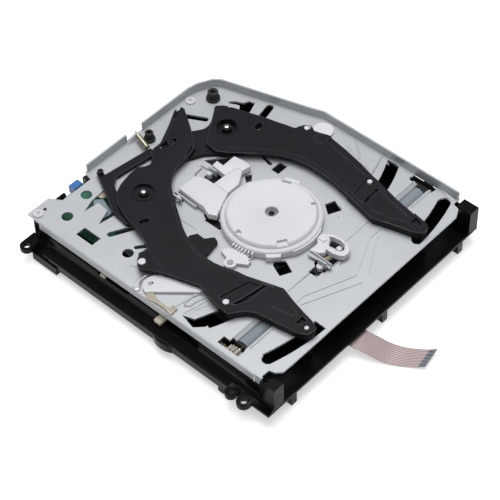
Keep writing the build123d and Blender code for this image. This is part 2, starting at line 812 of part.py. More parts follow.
right_lines = [
    [
        (18.6, 32.6), (22.9, 26.6), (28.6, 19.2), (33.0, 12.2), (36.2, 4.4), (37.6, -4.6),
        (37.4, -12.6), (36.8, -20.6), (34.8, -29.6),
    ],
    [(32.4, -46.0), (34.6, -56.0), (37.2, -62.6)],
    [(44.3, -42.0), (41.2, -57.0), (39.9, -62.8)],
    [(50.5, 20.0), (47.8, 30.0), (44.6, 39.6), (42.2, 47.6), (38.8, 52.0), (34.0, 53.6)],
    [(21.0, 48.6), (14.6, 44.8)],
]
right_band = [
    (53.2, -1.0), (58.0, -1.0), (54.0, -24.0), (51.0, -35.0), (45.8, -62.5), (42.6, -62.5),
    (45.8, -43.0), (47.4, -31.5), (50.4, -16.0),
]
right_step = [(34.6, -32.6), (47.8, -30.6), (46.9, -36.6), (46.2, -38.8), (33.0, -39.6)]
right_pockets = [
    [(33.6, -39.8), (44.8, -38.6), (44.8, -40.8), (34.0, -41.8)],
    [(37.9, -64.1), (42.6, -64.1), (41.8, -68.0), (39.8, -70.6)],
]

with BuildPart() as right_arm:
    # Lower layer: the stretch that passes under the other arm, and the front half
    with BuildSketch(level(arm_bottom)):
        outline(right_low, 0.6)
        outline(right_tip, 0.6)
    extrude(amount=layer)
    with BuildSketch(level(arm_split)):
        outline(right_back + right_tip + right_waist, 0.8)
    extrude(amount=arm_top - arm_split)
    with BuildSketch(level(arm_top)):
        with Locations(right_pivot):
            Circle(counterbore + pivot_rim - 0.3)
    extrude(amount=rim_height)
    with BuildSketch(level(arm_top + rim_height)):
        with Locations(right_pivot):
            Circle(counterbore - 0.3)
    extrude(amount=-rim_height - counterbore_depth, mode=Mode.SUBTRACT)
    # Crank pin that runs in the cam slot of the other arm
    with BuildSketch(level(arm_split)):
        with Locations(crank_pin):
            Circle(crank_radius)
    extrude(amount=arm_top - arm_split - 0.3)
    with BuildSketch(level(arm_bottom)):
        with Locations(right_pivot):
            Circle(pivot_radius + pivot_clearance)
        with Locations(Location((39.2, 30.8, 0), 14)):
            SlotOverall(5.6, 3.4)
        with Locations((53.2, 12.7)):
            Circle(1.7)
        with Locations((46.4, -34.2)):
            Rectangle(1.8, 2.2)
    extrude(amount=arm_top - arm_bottom, mode=Mode.SUBTRACT)
    with BuildSketch(level(arm_top)):
        for points in right_lines:
            groove(points, bead_width)
        with Locations((52.6, 2.4)):
            Circle(3.4)
            Circle(2.8, mode=Mode.SUBTRACT)
    extrude(amount=-bead_depth, mode=Mode.SUBTRACT)
    with BuildSketch(level(arm_top)):
        outline(right_band, 0.3)
        outline(right_step, 0.3)
    extrude(amount=-step_depth, mode=Mode.SUBTRACT)
    with BuildSketch(level(arm_top)):
        for points in right_pockets:
            outline(points, 0.3)
    extrude(amount=-pocket_depth, mode=Mode.SUBTRACT)
    # Hollow underside of the front half
    with BuildSketch(level(arm_bottom)):
        for spots in (right_hollow_front, right_hollow_back):
            with BuildLine():
                Polyline(*spots, close=True)
            make_face()
        with Locations(
            polar(right_pivot, mid_reach, 540 - mid_angle), polar(right_pivot, front_reach, 540 - front_angle)
        ):
            Circle(feeler_radius + 1.2, mode=Mode.SUBTRACT)
    extrude(amount=arm_upper - arm_bottom, mode=Mode.SUBTRACT)
save(right_arm, "right_arm")

# Feelers under the arms: long ones at the front touch the disc, short ones only guide
for side, arm_pivot in (("left", left_pivot), ("right", right_pivot)):
    front = front_angle if side == "left" else 540 - front_angle
    middle = mid_angle if side == "left" else 540 - mid_angle
    with BuildPart() as feelers:
        with BuildSketch(level(feeler_bottom)):
            with Locations(polar(arm_pivot, front_reach, front)):
                Circle(feeler_radius)
        extrude(amount=arm_bottom - feeler_bottom)
        with BuildSketch(level(plate_under + 0.2)):
            with Locations(polar(arm_pivot, mid_reach, middle)):
                Circle(feeler_radius)
        extrude(amount=arm_bottom - plate_under - 0.2)
    save(feelers, f"{side}_feelers")

# Shouldered posts that the arms turn on
for side, spot in (("left", left_pivot), ("right", right_pivot)):
    with BuildPart() as pivot_post:
        with BuildSketch(level(plate_under - 1.2)):
            with Locations(spot):
                Circle(pivot_radius + 1)
        extrude(amount=1.2)
        with BuildSketch(level(plate_under)):
            with Locations(spot):
                Circle(1.5)
        extrude(amount=sheet)
        with BuildSketch(level(plate_top)):
            with Locations(spot):
                Circle(pivot_radius)
        extrude(amount=arm_top + 0.2 - plate_top)
        with BuildSketch(level(arm_top - 1.6)):
            with Locations(spot):
                Circle(1.1)
        extrude(amount=2, mode=Mode.SUBTRACT)
    save(pivot_post, f"{side}_pivot_post")


# Lock lever below the left arm, with its stop pin, and the spring that pulls it
lock_pivot = (-44.0, 36.0)
lock_bottom = plate_top + 0.2
lock_height = arm_split - lock_bottom
spring_hook = (-6.6, 60.2)
spring_anchor = (-2.6, plate_back - sheet - 0.6)
with BuildPart() as lock_lever:
    with BuildSketch(level(lock_bottom)):
        with BuildLine():
            Polyline(
                (-47.0, 36.0), (-45.6, 46.0), (-41.0, 54.0), (-33.0, 69.4), (-30.4, 68.6), (-31.6, 65.2),
                (-7.4, 61.8), (-4.8, 61.2), (-4.6, 58.6), (-8.0, 57.6), (-22.0, 59.8), (-29.0, 60.6),
                (-33.6, 57.2), (-36.4, 52.4), (-39.4, 44.6), (-41.0, 36.0),
                close=True,
            )
        make_face()
        with Locations(lock_pivot):
            Circle(3.0)
    extrude(amount=lock_height)
    with BuildSketch(level(lock_bottom)):
        with Locations(lock_pivot):
            Circle(1.55)
        with Locations(spring_hook):
            Circle(0.7)
    extrude(amount=lock_height, mode=Mode.SUBTRACT)
    with BuildSketch(level(lock_bottom + lock_height)):
        with Locations((-32.2, 67.6)):
            Circle(1.2)
    extrude(amount=1.8)
save(lock_lever, "lock_lever")

with BuildPart() as lock_post:
    with BuildSketch(level(plate_top)):
        with Locations(lock_pivot):
            Circle(1.5)
    extrude(amount=arm_split - plate_top)
save(lock_post, "lock_post")

spring_run = hypot(spring_anchor[0] - spring_hook[0], spring_anchor[1] - spring_hook[1])
spring_lean = degrees(atan2(spring_anchor[1] - spring_hook[1], spring_anchor[0] - spring_hook[0]))
spring_level = lock_bottom + lock_height + 1.1
spring_plane = Plane(
    (disc_x + spring_hook[0], spring_hook[1], spring_level),
    x_dir=(0, 0, 1),
    z_dir=(cos(radians(spring_lean)), sin(radians(spring_lean)), 0),
)
with BuildPart() as tension_spring:
    with BuildSketch(spring_plane.offset(1.4)):
        Circle(1.0)
    extrude(amount=spring_run - 3.0)
    with BuildSketch(spring_plane.offset(-0.6)):
        Circle(0.25)
    extrude(amount=spring_run + 0.4)
save(tension_spring, "tension_spring")


# Loading roller: steel shaft, two rubber cones, gear and bearings
with BuildPart() as roller_shaft:
    with BuildSketch(across(inner_left - 0.9)):
        with Locations((roller_y, roller_z)):
            Circle(shaft_radius)
    extrude(amount=inner_right - 0.3 - inner_left + 0.9)
save(roller_shaft, "roller_shaft")

for side, name in ((-1, "left_roller"), (1, "right_roller")):
    with BuildPart() as roller:
        with BuildSketch(across(side * roller_split)):
            with Locations((roller_y, roller_z)):
                Circle(roller_mid_radius)
        with BuildSketch(across(side * roller_half)):
            with Locations((roller_y, roller_z)):
                Circle(roller_end_radius)
        loft()
        with BuildSketch(across(side * roller_split)):
            with Locations((roller_y, roller_z)):
                Circle(shaft_radius)
        extrude(amount=side * (roller_half - roller_split), mode=Mode.SUBTRACT)
    save(roller, name)

wheels = (
    ("roller_gear", roller_y, roller_z, roller_teeth, roller_pitch, roller_to_drive, shaft_radius),
    ("drive_gear", drive_y, drive_z, drive_teeth, drive_pitch, drive_start, 1.0 + bearing_clearance),
    ("motor_pinion", motor_y, motor_z, pinion_teeth, pinion_pitch, pinion_start, 0),
)
for name, wheel_y, wheel_z, teeth, pitch, start, bore in wheels:
    with BuildPart() as wheel:
        with BuildSketch(gear_plane):
            with Locations((wheel_y, wheel_z)):
                Circle(pitch - module)
            tooth_ring((wheel_y, wheel_z), teeth, 0, teeth - 1, start, pitch)
            if bore:
                with Locations((wheel_y, wheel_z)):
                    Circle(bore, mode=Mode.SUBTRACT)
        extrude(amount=gear_width)
        if not bore:
            with BuildSketch(gear_plane):
                with Locations((wheel_y, wheel_z)):
                    Circle(motor_shaft)
            extrude(amount=gear_width + 2.6)
    save(wheel, name)

with BuildPart() as gear_stud:
    with BuildSketch(across(inner_left)):
        with Locations((drive_y, drive_z)):
            Circle(1.0)
    extrude(amount=gear_width + 1.2)
    with BuildSketch(across(inner_left)):
        with Locations((drive_y, drive_z)):
            Circle(1.6)
    extrude(amount=0.4)
save(gear_stud, "gear_stud")

with BuildPart() as loading_motor:
    with BuildSketch(across(motor_face)):
        with Locations((motor_y, motor_z)):
            Circle(can_radius)
    extrude(amount=12)
    with BuildSketch(across(motor_face)):
        with Locations((motor_y, motor_z)):
            Circle(motor_shaft + bearing_clearance)
    extrude(amount=3, mode=Mode.SUBTRACT)
save(loading_motor, "loading_motor")

for side, name, inner, outer in (
    (-1, "left_bearing", -roller_half - 0.5, -roller_half - 1.5),
    (1, "right_bearing", roller_half + 0.5, inner_right - 0.2),
):
    with BuildPart() as bearing:
        with BuildSketch(across(inner)):
            with Locations((roller_y, between(floor_top, roller_z + 3.4, 0.5))):
                Rectangle(8.0, roller_z + 3.4 - floor_top)
            with Locations((roller_y, roller_z)):
                Circle(shaft_radius + bearing_clearance, mode=Mode.SUBTRACT)
        extrude(amount=outer - inner)
    save(bearing, name)


# Clamp: toothed ring, its sector lever, cover, puck and hinged brackets
ring_centre = (0, disc_y)
ring_pitch = module * ring_teeth / 2
sector_pitch = module * sector_teeth / 2
ring_bottom = plate_top + ring_lift
sector_pivot = polar(ring_centre, ring_pitch + sector_pitch, sector_side)
sector_span = 5

with BuildPart() as clamp_ring:
    with BuildSketch(level(ring_bottom)):
        with Locations(ring_centre):
            Circle(ring_pitch - module)
        tooth_ring(ring_centre, ring_teeth, -9, 9, sector_side, ring_pitch)
        with Locations(ring_centre):
            Circle(ring_bore, mode=Mode.SUBTRACT)
    extrude(amount=ring_height)
save(clamp_ring, "clamp_ring")

with BuildPart() as sector_lever:
    with BuildSketch(level(ring_bottom)):
        lead = sector_side + 180 + 6
        tooth_ring(sector_pivot, sector_teeth, -sector_span, sector_span - 1, lead, sector_pitch)
        with BuildLine():
            Line(sector_pivot, polar(sector_pivot, sector_pitch - 0.6, sector_side + 180 - 66))
            CenterArc(sector_pivot, sector_pitch - 0.6, sector_side + 180 - 66, 132)
            Line(polar(sector_pivot, sector_pitch - 0.6, sector_side + 180 + 66), sector_pivot)
        make_face()
        with Locations(sector_pivot):
            Circle(3.0)
            Circle(1.55, mode=Mode.SUBTRACT)
    extrude(amount=1.6)
save(sector_lever, "sector_lever")

with BuildPart() as sector_post:
    with BuildSketch(level(plate_top)):
        with Locations(sector_pivot):
            Circle(1.5)
    extrude(amount=2.2)
save(sector_post, "sector_post")

cover_bottom = ring_bottom + ring_height
window_turns = (172, 236, 21, -37)
window_reach = 19.0
window_size = (1.4, 4.2)
with BuildPart() as clamp_cover:
    with BuildSketch(level(cover_bottom)):
        with Locations(ring_centre):
            Circle(cover_radius)
            Circle(1.3, mode=Mode.SUBTRACT)
    extrude(amount=cover_height)
    with BuildSketch(level(cover_bottom + cover_height - 0.9)):
        with Locations(ring_centre):
            Circle(3.1)
        for turn in window_turns:
            with Locations(Location((*polar(ring_centre, window_reach, turn), 0), (0, 0, turn))):
                Rectangle(*window_size)
    extrude(amount=1, mode=Mode.SUBTRACT)
save(clamp_cover, "clamp_cover")

with BuildPart() as clamp_puck:
    with BuildSketch(level(puck_bottom)):
        with Locations(ring_centre):
            Circle(puck_radius)
    extrude(amount=ring_bottom + 1.7 - puck_bottom)
    with BuildSketch(level(ring_bottom + 1.7)):
        with Locations(ring_centre):
            Circle(puck_flange)
    extrude(amount=0.8)
    with BuildSketch(level(puck_bottom)):
        with Locations(ring_centre):
            Circle(7.2)
    extrude(amount=2.4, mode=Mode.SUBTRACT)
save(clamp_puck, "clamp_puck")


# Rear clamp bracket, hinged on two pins in ears of the plate
outer_ring = ring_pitch + module + ring_gap

with BuildPart() as rear_bracket:
    with BuildSketch(level(bracket_bottom)):
        with BuildLine():
            Polyline(
                (-19.6, 29.6), (-16.4, 31.0), (-2.8, 31.0), (-2.8, 21.8), (4.6, 21.8), (4.6, 31.2),
                (9.6, 31.2), (10.0, 26.2), (17.9, 26.2), (18.4, 0.0), (-18.4, 0.0), (-18.4, 12.0),
                (-19.6, 20.0), close=True,
            )
        make_face()
        with Locations(ring_centre):
            Circle(outer_ring, mode=Mode.SUBTRACT)
        with Locations((10.6, 13.0)):
            Rectangle(3.8, 8.4, mode=Mode.SUBTRACT)
    extrude(amount=bracket_top - bracket_bottom)
    with BuildSketch(across(-19.6)):
        with Locations((hinge_y, hinge_z)):
            Circle(1.9)
    extrude(amount=15.6)
    with BuildSketch(across(-19.6)):
        with Locations((hinge_y, hinge_z)):
            Circle(pin_radius)
    extrude(amount=30, mode=Mode.SUBTRACT)
save(rear_bracket, "rear_bracket")

for name, start, end in (("left_hinge_pin", -21.4, -15.6), ("right_hinge_pin", 3.2, 9.4)):
    with BuildPart() as hinge_pin:
        with BuildSketch(across(start)):
            with Locations((hinge_y, hinge_z)):
                Circle(pin_radius)
        extrude(amount=end - start)
    save(hinge_pin, name)

# Front clamp lever with its pin
with BuildPart() as front_lever:
    with BuildSketch(level(bracket_bottom)):
        with BuildLine():
            Polyline(
                (-4.8, -50.6), (-0.6, -50.6), (-0.6, -43.4), (2.6, -43.4), (2.6, -52.0), (3.8, -54.2),
                (7.8, -54.2), (9.0, -52.0), (9.0, -34.0), (-4.8, -34.0), close=True,
            )
        make_face()
        with Locations(ring_centre):
            Circle(outer_ring, mode=Mode.SUBTRACT)
        with Locations(Location((6.2, -48.0, 0), 90)):
            SlotOverall(7.6, 3.4, mode=Mode.SUBTRACT)
    extrude(amount=2.4)
    with BuildSketch(across(-4.8)):
        with Locations((lever_y, lever_z)):
            Circle(1.5)
    extrude(amount=4.2)
    with BuildSketch(across(-4.8)):
        with Locations((lever_y, lever_z)):
            Circle(pin_radius)
    extrude(amount=4.2, mode=Mode.SUBTRACT)
save(front_lever, "front_lever")

with BuildPart() as lever_pin:
    with BuildSketch(across(-7.4)):
        with Locations((lever_y, lever_z)):
            Circle(pin_radius)
    extrude(amount=6.8)
save(lever_pin, "lever_pin")


# Traverse deck with the spindle, the pickup and its drive
deck_top = deck_bottom + deck_thickness
motor_bay = (35.0, 48.0)
sled_motor_radius = 2.8
with BuildPart() as traverse_deck:
    with BuildSketch(level(deck_bottom)):
        with Locations((0, between(deck_front, deck_back, 0.5))):
            RectangleRounded(2 * deck_half, deck_back - deck_front, 5)
        with Locations(*[(side * (deck_half - 5), deck_hinge_y - 2) for side in (-1, 1)]):
            Rectangle(8, 7)
        with Locations(ring_centre):
            Circle(motor_radius + 0.3, mode=Mode.SUBTRACT)
        with Locations((0, between(rod_front + 2, rod_back - 2, 0.5))):
            Rectangle(2 * rod_side - 4, rod_back - rod_front - 4, mode=Mode.SUBTRACT)
        with Locations((screw_side, between(motor_bay[0], motor_bay[1], 0.5))):
            Rectangle(2 * sled_motor_radius + 0.8, motor_bay[1] - motor_bay[0], mode=Mode.SUBTRACT)
    extrude(amount=deck_thickness)
    # Trunnions of the lift and the pin in the slider's cam
    with BuildSketch(across(-deck_half - deck_clearance - trunnion_length + 0.4)):
        with Locations((deck_hinge_y, deck_hinge_z)):
            Circle(trunnion_radius)
    extrude(amount=10)
    with BuildSketch(across(deck_half + deck_clearance + trunnion_length - 0.4)):
        with Locations((deck_hinge_y, deck_hinge_z)):
            Circle(trunnion_radius)
    extrude(amount=-10)
    with BuildSketch(across(inner_left + 0.5)):
        with Locations((cam_pin_y, cam_pin_z)):
            Circle(cam_pin_radius)
    extrude(amount=-deck_half + 2 - inner_left - 0.5)
    # Rests of the guide rods and of the lead screw
    with BuildSketch(level(deck_top)):
        for side in (-rod_side, rod_side):
            for end in (rod_front + 1, rod_back - 1):
                with Locations((side, end)):
                    Rectangle(5.0, 2.0)
        with Locations((screw_side, rod_front + 1)):
            Rectangle(4.0, 2.0)
    extrude(amount=rod_z + 0.6 - deck_top)
    with BuildSketch(lengthwise(rod_front - 1)):
        with Locations((-rod_side, rod_z), (rod_side, rod_z)):
            Circle(rod_radius)
    extrude(amount=-(rod_back - rod_front + 2), mode=Mode.SUBTRACT)
    with BuildSketch(lengthwise(rod_front - 1)):
        with Locations((screw_side, rod_z)):
            Circle(screw_radius + bearing_clearance)
    extrude(amount=-4, mode=Mode.SUBTRACT)
    # Motor mounting ring
    with BuildSketch(level(deck_top)):
        with Locations(ring_centre):
            Circle(motor_radius + 1.8)
            Circle(motor_radius + 0.3, mode=Mode.SUBTRACT)
    extrude(amount=0.8)
    with BuildSketch(level(deck_top)):
        with Locations(ring_centre):
            with PolarLocations(motor_radius + 3.4, 3, 30):
                Circle(1.6)
    extrude(amount=1.0)
save(traverse_deck, "traverse_deck")

with BuildPart() as spindle_motor:
    with BuildSketch(level(motor_bottom)):
        with Locations(ring_centre):
            Circle(motor_radius)
    extrude(amount=turntable_bottom - 0.4 - motor_bottom)
    with BuildSketch(level(motor_bottom + 1.5)):
        with Locations(ring_centre):
            Circle(1.0 + bearing_clearance)
    extrude(amount=8, mode=Mode.SUBTRACT)
save(spindle_motor, "spindle_motor")

with BuildPart() as turntable:
    with BuildSketch(level(turntable_bottom)):
        with Locations(ring_centre):
            Circle(turntable_radius)
    extrude(amount=turntable_top - turntable_bottom)
    with BuildSketch(level(turntable_top)):
        with Locations(ring_centre):
            Circle(hub_radius)
    extrude(amount=hub_height, taper=12)
    with BuildSketch(level(turntable_bottom)):
        with Locations(ring_centre):
            Circle(1.0)
    extrude(amount=-4.2)
save(turntable, "turntable")

with BuildPart() as guide_rods:
    with BuildSketch(lengthwise(rod_front)):
        with Locations((-rod_side, rod_z), (rod_side, rod_z)):
            Circle(rod_radius)
    extrude(amount=-(rod_back - rod_front))
save(guide_rods, "guide_rods")

with BuildPart() as pickup_sled:
    with BuildSketch(level(deck_top + 0.3)):
        with Locations((0, sled_front + sled_length / 2)):
            Rectangle(2 * rod_side + 4.6, sled_length)
            Rectangle(2 * rod_side - 5, sled_length + 2, mode=Mode.SUBTRACT)
    extrude(amount=3.6)
    with BuildSketch(level(deck_top - 1.4)):
        with Locations((0, sled_front + sled_length / 2)):
            RectangleRounded(2 * rod_side - 5, sled_length, 2)
    extrude(amount=5.0)
    with BuildSketch(level(deck_top + 3.6)):
        with Locations((0, sled_front + 8)):
            Circle(3.4)
    extrude(amount=0.6)
    with BuildSketch(lengthwise(sled_front - 1)):
        with Locations((-rod_side, rod_z), (rod_side, rod_z)):
            Circle(rod_radius + bearing_clearance)
    extrude(amount=-(sled_length + 2), mode=Mode.SUBTRACT)
save(pickup_sled, "pickup_sled")

with BuildPart() as pickup_lens:
    with BuildSketch(level(deck_top + 4.2)):
        with Locations((0, sled_front + 8)):
            Circle(2.2)
    extrude(amount=0.5)
save(pickup_lens, "pickup_lens")

screw_back = motor_bay[0] + 0.2
with BuildPart() as lead_screw:
    with BuildSketch(lengthwise(rod_front)):
        with Locations((screw_side, rod_z)):
            Circle(screw_radius)
    extrude(amount=-(screw_back - rod_front))
    with BuildSketch(lengthwise(screw_back)):
        with Locations((screw_side, rod_z)):
            Circle(0.6)
    extrude(amount=-2.5)
save(lead_screw, "lead_screw")

with BuildPart() as sled_motor:
    with BuildSketch(lengthwise(motor_bay[0] + 0.5)):
        with Locations((screw_side, rod_z)):
            Circle(sled_motor_radius)
            Circle(0.6 + bearing_clearance, mode=Mode.SUBTRACT)
    extrude(amount=-(motor_bay[1] - motor_bay[0] - 1))
save(sled_motor, "sled_motor")


# Cam slider along the left wall, with the ramp that lifts the deck
cam_rise = (deck_hinge_y - cam_pin_y) * sin(radians(deck_lift))
cam_x = inner_left + 0.3
tab_reach = 3.2
with BuildPart() as cam_slider:
    with BuildSketch(across(cam_x)):
        with Locations((between(slider_front, slider_back, 0.5), slider_top - slider_web / 2)):
            Rectangle(slider_back - slider_front, slider_web)
        with Locations((cam_pin_y + slider_travel / 2, between(1.2, slider_top, 0.5))):
            Rectangle(slider_travel + 10, slider_top - 1.2)
    extrude(amount=slider_thickness)
    with BuildSketch(across(cam_x)):
        with Locations(
            Location(
                (cam_pin_y + slider_travel / 2, cam_pin_z + cam_rise / 2, 0),
                degrees(atan2(cam_rise, slider_travel)),
            )
        ):
            SlotCenterToCenter(hypot(cam_rise, slider_travel), 2 * (cam_pin_radius + cam_clearance))
    extrude(amount=slider_thickness, mode=Mode.SUBTRACT)
    # Tabs that pass out through the slots in the wall
    with BuildSketch(across(plate_left - tab_reach)):
        with Locations((-11.0, 14.8)):
            Rectangle(3.8, 1.6)
    extrude(amount=cam_x - plate_left + tab_reach + slider_thickness)
    with BuildSketch(across(plate_left - 0.6)):
        with Locations((26.7, 15.4)):
            Rectangle(3.0, 1.4)
    extrude(amount=cam_x - plate_left + 0.6 + slider_thickness)
save(cam_slider, "cam_slider")


# Disc detect lever at the left, with the link to the slider's side
detect_pivot = (-65.6, 1.8)
with BuildPart() as detect_lever:
    with BuildSketch(level(plate_top + 0.2)):
        with Locations(detect_pivot):
            Circle(4.4)
        with BuildLine():
            Polyline(
                (-69.2, -0.8), (-66.0, -4.0), (-52.0, -17.6), (-47.0, -15.0), (-50.0, -8.0),
                (-62.0, 4.4), close=True,
            )
        make_face()
        with Locations(detect_pivot):
            Circle(1.05, mode=Mode.SUBTRACT)
    extrude(amount=1.4)
save(detect_lever, "detect_lever")

with BuildPart() as detect_post:
    with BuildSketch(level(plate_top)):
        with Locations(detect_pivot):
            Circle(1.0)
    extrude(amount=1.9)
save(detect_post, "detect_post")

with BuildPart() as detect_link:
    with BuildSketch(level(plate_top + 0.1)):
        with BuildLine():
            Polyline(
                (-70.6, -5.4), (-70.0, -10.0), (-69.9, -15.6), (-68.4, -17.6), (-66.6, -17.0),
                (-67.4, -15.2), (-67.9, -10.0), (-67.4, -6.4), close=True,
            )
        make_face()
    extrude(amount=1.2)
save(detect_link, "detect_link")

# Round guide cap at the right
with BuildPart() as guide_cap:
    with BuildSketch(level(plate_top)):
        with Locations((60.4, 7.6)):
            Circle(5.2)
    extrude(amount=1.2)
    fillet(guide_cap.edges().group_by(Axis.Z)[-1], 0.4)
save(guide_cap, "guide_cap")


# Screws, bumpers
bumper_height = 5.0
with BuildPart() as plate_screws:
    with BuildSketch(level(plate_top)):
        with Locations(*screw_spots):
            Circle(2.5)
    extrude(amount=0.9)
    with BuildSketch(level(plate_top - 7)):
        with Locations(*screw_spots):
            Circle(1.2)
    extrude(amount=7)
    with BuildSketch(level(plate_top + 0.4)):
        with Locations(*screw_spots):
            Rectangle(2.2, 0.6)
            Rectangle(0.6, 2.2)
    extrude(amount=1, mode=Mode.SUBTRACT)
save(plate_screws, "plate_screws")

with BuildPart() as rubber_bumpers:
    with BuildSketch(level(plate_top)):
        with Locations((42.0, 63.8)):
            Circle(3.5)
        with Locations((0.9, 67.6)):
            Circle(2.9)
    extrude(amount=1.4)
    with BuildSketch(level(plate_top)):
        with Locations((42.0, 63.8)):
            Circle(2.7)
        with Locations((0.9, 67.6)):
            Circle(2.1)
    extrude(amount=bumper_height)
    with BuildSketch(level(plate_top + bumper_height)):
        with Locations((42.0, 63.8), (0.9, 67.6)):
            Circle(1.3)
    extrude(amount=-1.6, mode=Mode.SUBTRACT)
save(rubber_bumpers, "rubber_bumpers")


# Circuit board at the back left, with its connectors
with BuildPart() as circuit_board:
    with BuildSketch(level(board_top - board_thickness)):
        with BuildLine():
            Polyline(
                (-58.0, 71.8), (-58.0, 40.0), (-50.0, 40.0), (-42.0, 50.0), (-24.0, 58.0), (20.0, 58.0),
                (20.0, 71.8), (board_tongue[1], 71.8), (board_tongue[1], board_back),
                (board_tongue[0], board_back), (board_tongue[0], 71.8), close=True,
            )
        make_face()
    extrude(amount=board_thickness)
save(circuit_board, "circuit_board")

for name, x, y, width, depth, height in (
    ("blue_connector", -39.4, 78.6, 5.8, 4.0, 4.4),
    ("black_connector", -32.6, 78.4, 2.4, 3.0, 4.0),
    ("ribbon_socket", -12.0, 66.0, 16.0, 4.6, 2.2),
):
    with BuildPart() as connector:
        with BuildSketch(level(board_top)):
            with Locations((x, y)):
                Rectangle(width, depth)
        extrude(amount=height)
    save(connector, name)


# Ribbon cable that leaves under the front ledge, runs down and lies on the ground
ribbon_start_y = ledge_y + ribbon_inside * cos(radians(ribbon_turn))
ribbon_start = Plane(
    (disc_x + ribbon_x - ribbon_inside * sin(radians(ribbon_turn)), ribbon_start_y, ribbon_exit_z),
    x_dir=(sin(radians(ribbon_turn)), -cos(radians(ribbon_turn)), 0),
    z_dir=(-cos(radians(ribbon_turn)), -sin(radians(ribbon_turn)), 0),
)
ribbon_points = [(0, 0), (24, 0), (38, -0.1), (50, -2.6), (62, -5.4), (74, -5.0)]


def corner_radius(before, corner, after):
    """Largest arc that two runs of the ribbon allow at their corner."""
    first = Vector(*corner) - Vector(*before)
    second = Vector(*after) - Vector(*corner)
    turn = radians(first.get_angle(second))
    shorter = min(first.length, second.length)
    return 0.45 * shorter / (sin(turn / 2) / cos(turn / 2))


ribbon_radii = [
    corner_radius(*ribbon_points[number - 1 : number + 2]) for number in range(1, len(ribbon_points) - 1)
]
print("ribbon radii", [round(value, 1) for value in ribbon_radii])
with BuildPart() as ribbon_cable:
    with BuildSketch(ribbon_start.offset(-ribbon_width / 2)):
        with BuildLine():
            FilletPolyline(*ribbon_points, radius=ribbon_radii)
            offset(amount=ribbon_thickness / 2, side=Side.BOTH)
        make_face()
    extrude(amount=ribbon_width)
save(ribbon_cable, "ribbon_cable")

# Low socket under the floor that takes the ribbon's inner end
socket_reach = 2.6
socket_size = (16.0, 2.4)
socket_spot = (
    ribbon_x + (socket_reach - ribbon_inside) * sin(radians(ribbon_turn)),
    ribbon_start_y - socket_reach * cos(radians(ribbon_turn)),
)
with BuildPart() as floor_socket:
    with BuildSketch(level(ribbon_exit_z + ribbon_thickness / 2)):
        with Locations(Location((*socket_spot, 0), (0, 0, ribbon_turn))):
            Rectangle(*socket_size)
    extrude(amount=floor_under - ribbon_exit_z - ribbon_thickness / 2)
save(floor_socket, "floor_socket")
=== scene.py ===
import math

import bmesh
import bpy
from mathutils import Matrix, Vector


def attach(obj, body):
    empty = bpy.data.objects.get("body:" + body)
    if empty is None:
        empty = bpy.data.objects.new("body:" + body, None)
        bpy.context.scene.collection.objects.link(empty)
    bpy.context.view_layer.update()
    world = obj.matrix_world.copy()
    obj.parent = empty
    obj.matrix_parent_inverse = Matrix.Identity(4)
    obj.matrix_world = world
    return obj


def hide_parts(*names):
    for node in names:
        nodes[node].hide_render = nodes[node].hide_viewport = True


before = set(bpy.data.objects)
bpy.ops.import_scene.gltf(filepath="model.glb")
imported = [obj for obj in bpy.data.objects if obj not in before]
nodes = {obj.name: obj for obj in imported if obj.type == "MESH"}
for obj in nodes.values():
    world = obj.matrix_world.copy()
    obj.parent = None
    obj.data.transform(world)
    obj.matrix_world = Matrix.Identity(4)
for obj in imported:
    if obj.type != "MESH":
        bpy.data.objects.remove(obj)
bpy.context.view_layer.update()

scene = bpy.context.scene


# Camera: the photograph's viewing angle, found from the plate's corners

target = Vector((-0.01759, -0.01755, 0.022))
back = Vector((-0.4779, -0.4626, 0.7467)).normalized()
distance = 0.8253
focal_length = 129.65
roll = math.radians(-2.26)

level_right = Vector((-back.y, back.x, 0)).normalized()
level_up = back.cross(level_right)
right = level_right * math.cos(roll) + level_up * math.sin(roll)
up = level_up * math.cos(roll) - level_right * math.sin(roll)
camera_data = bpy.data.cameras.new("camera")
camera_data.lens = focal_length
camera_data.sensor_width = 36.0
camera_data.clip_start = 0.05
camera_data.clip_end = 20.0
camera = bpy.data.objects.new("camera", camera_data)
scene.collection.objects.link(camera)
turned_to_view = Matrix((right, up, back)).transposed().to_4x4()
camera.matrix_world = Matrix.Translation(target + back * distance) @ turned_to_view
scene.camera = camera


# Materials

patch_scale = 35
gloss_scale = 90
gloss_spread = 0.06


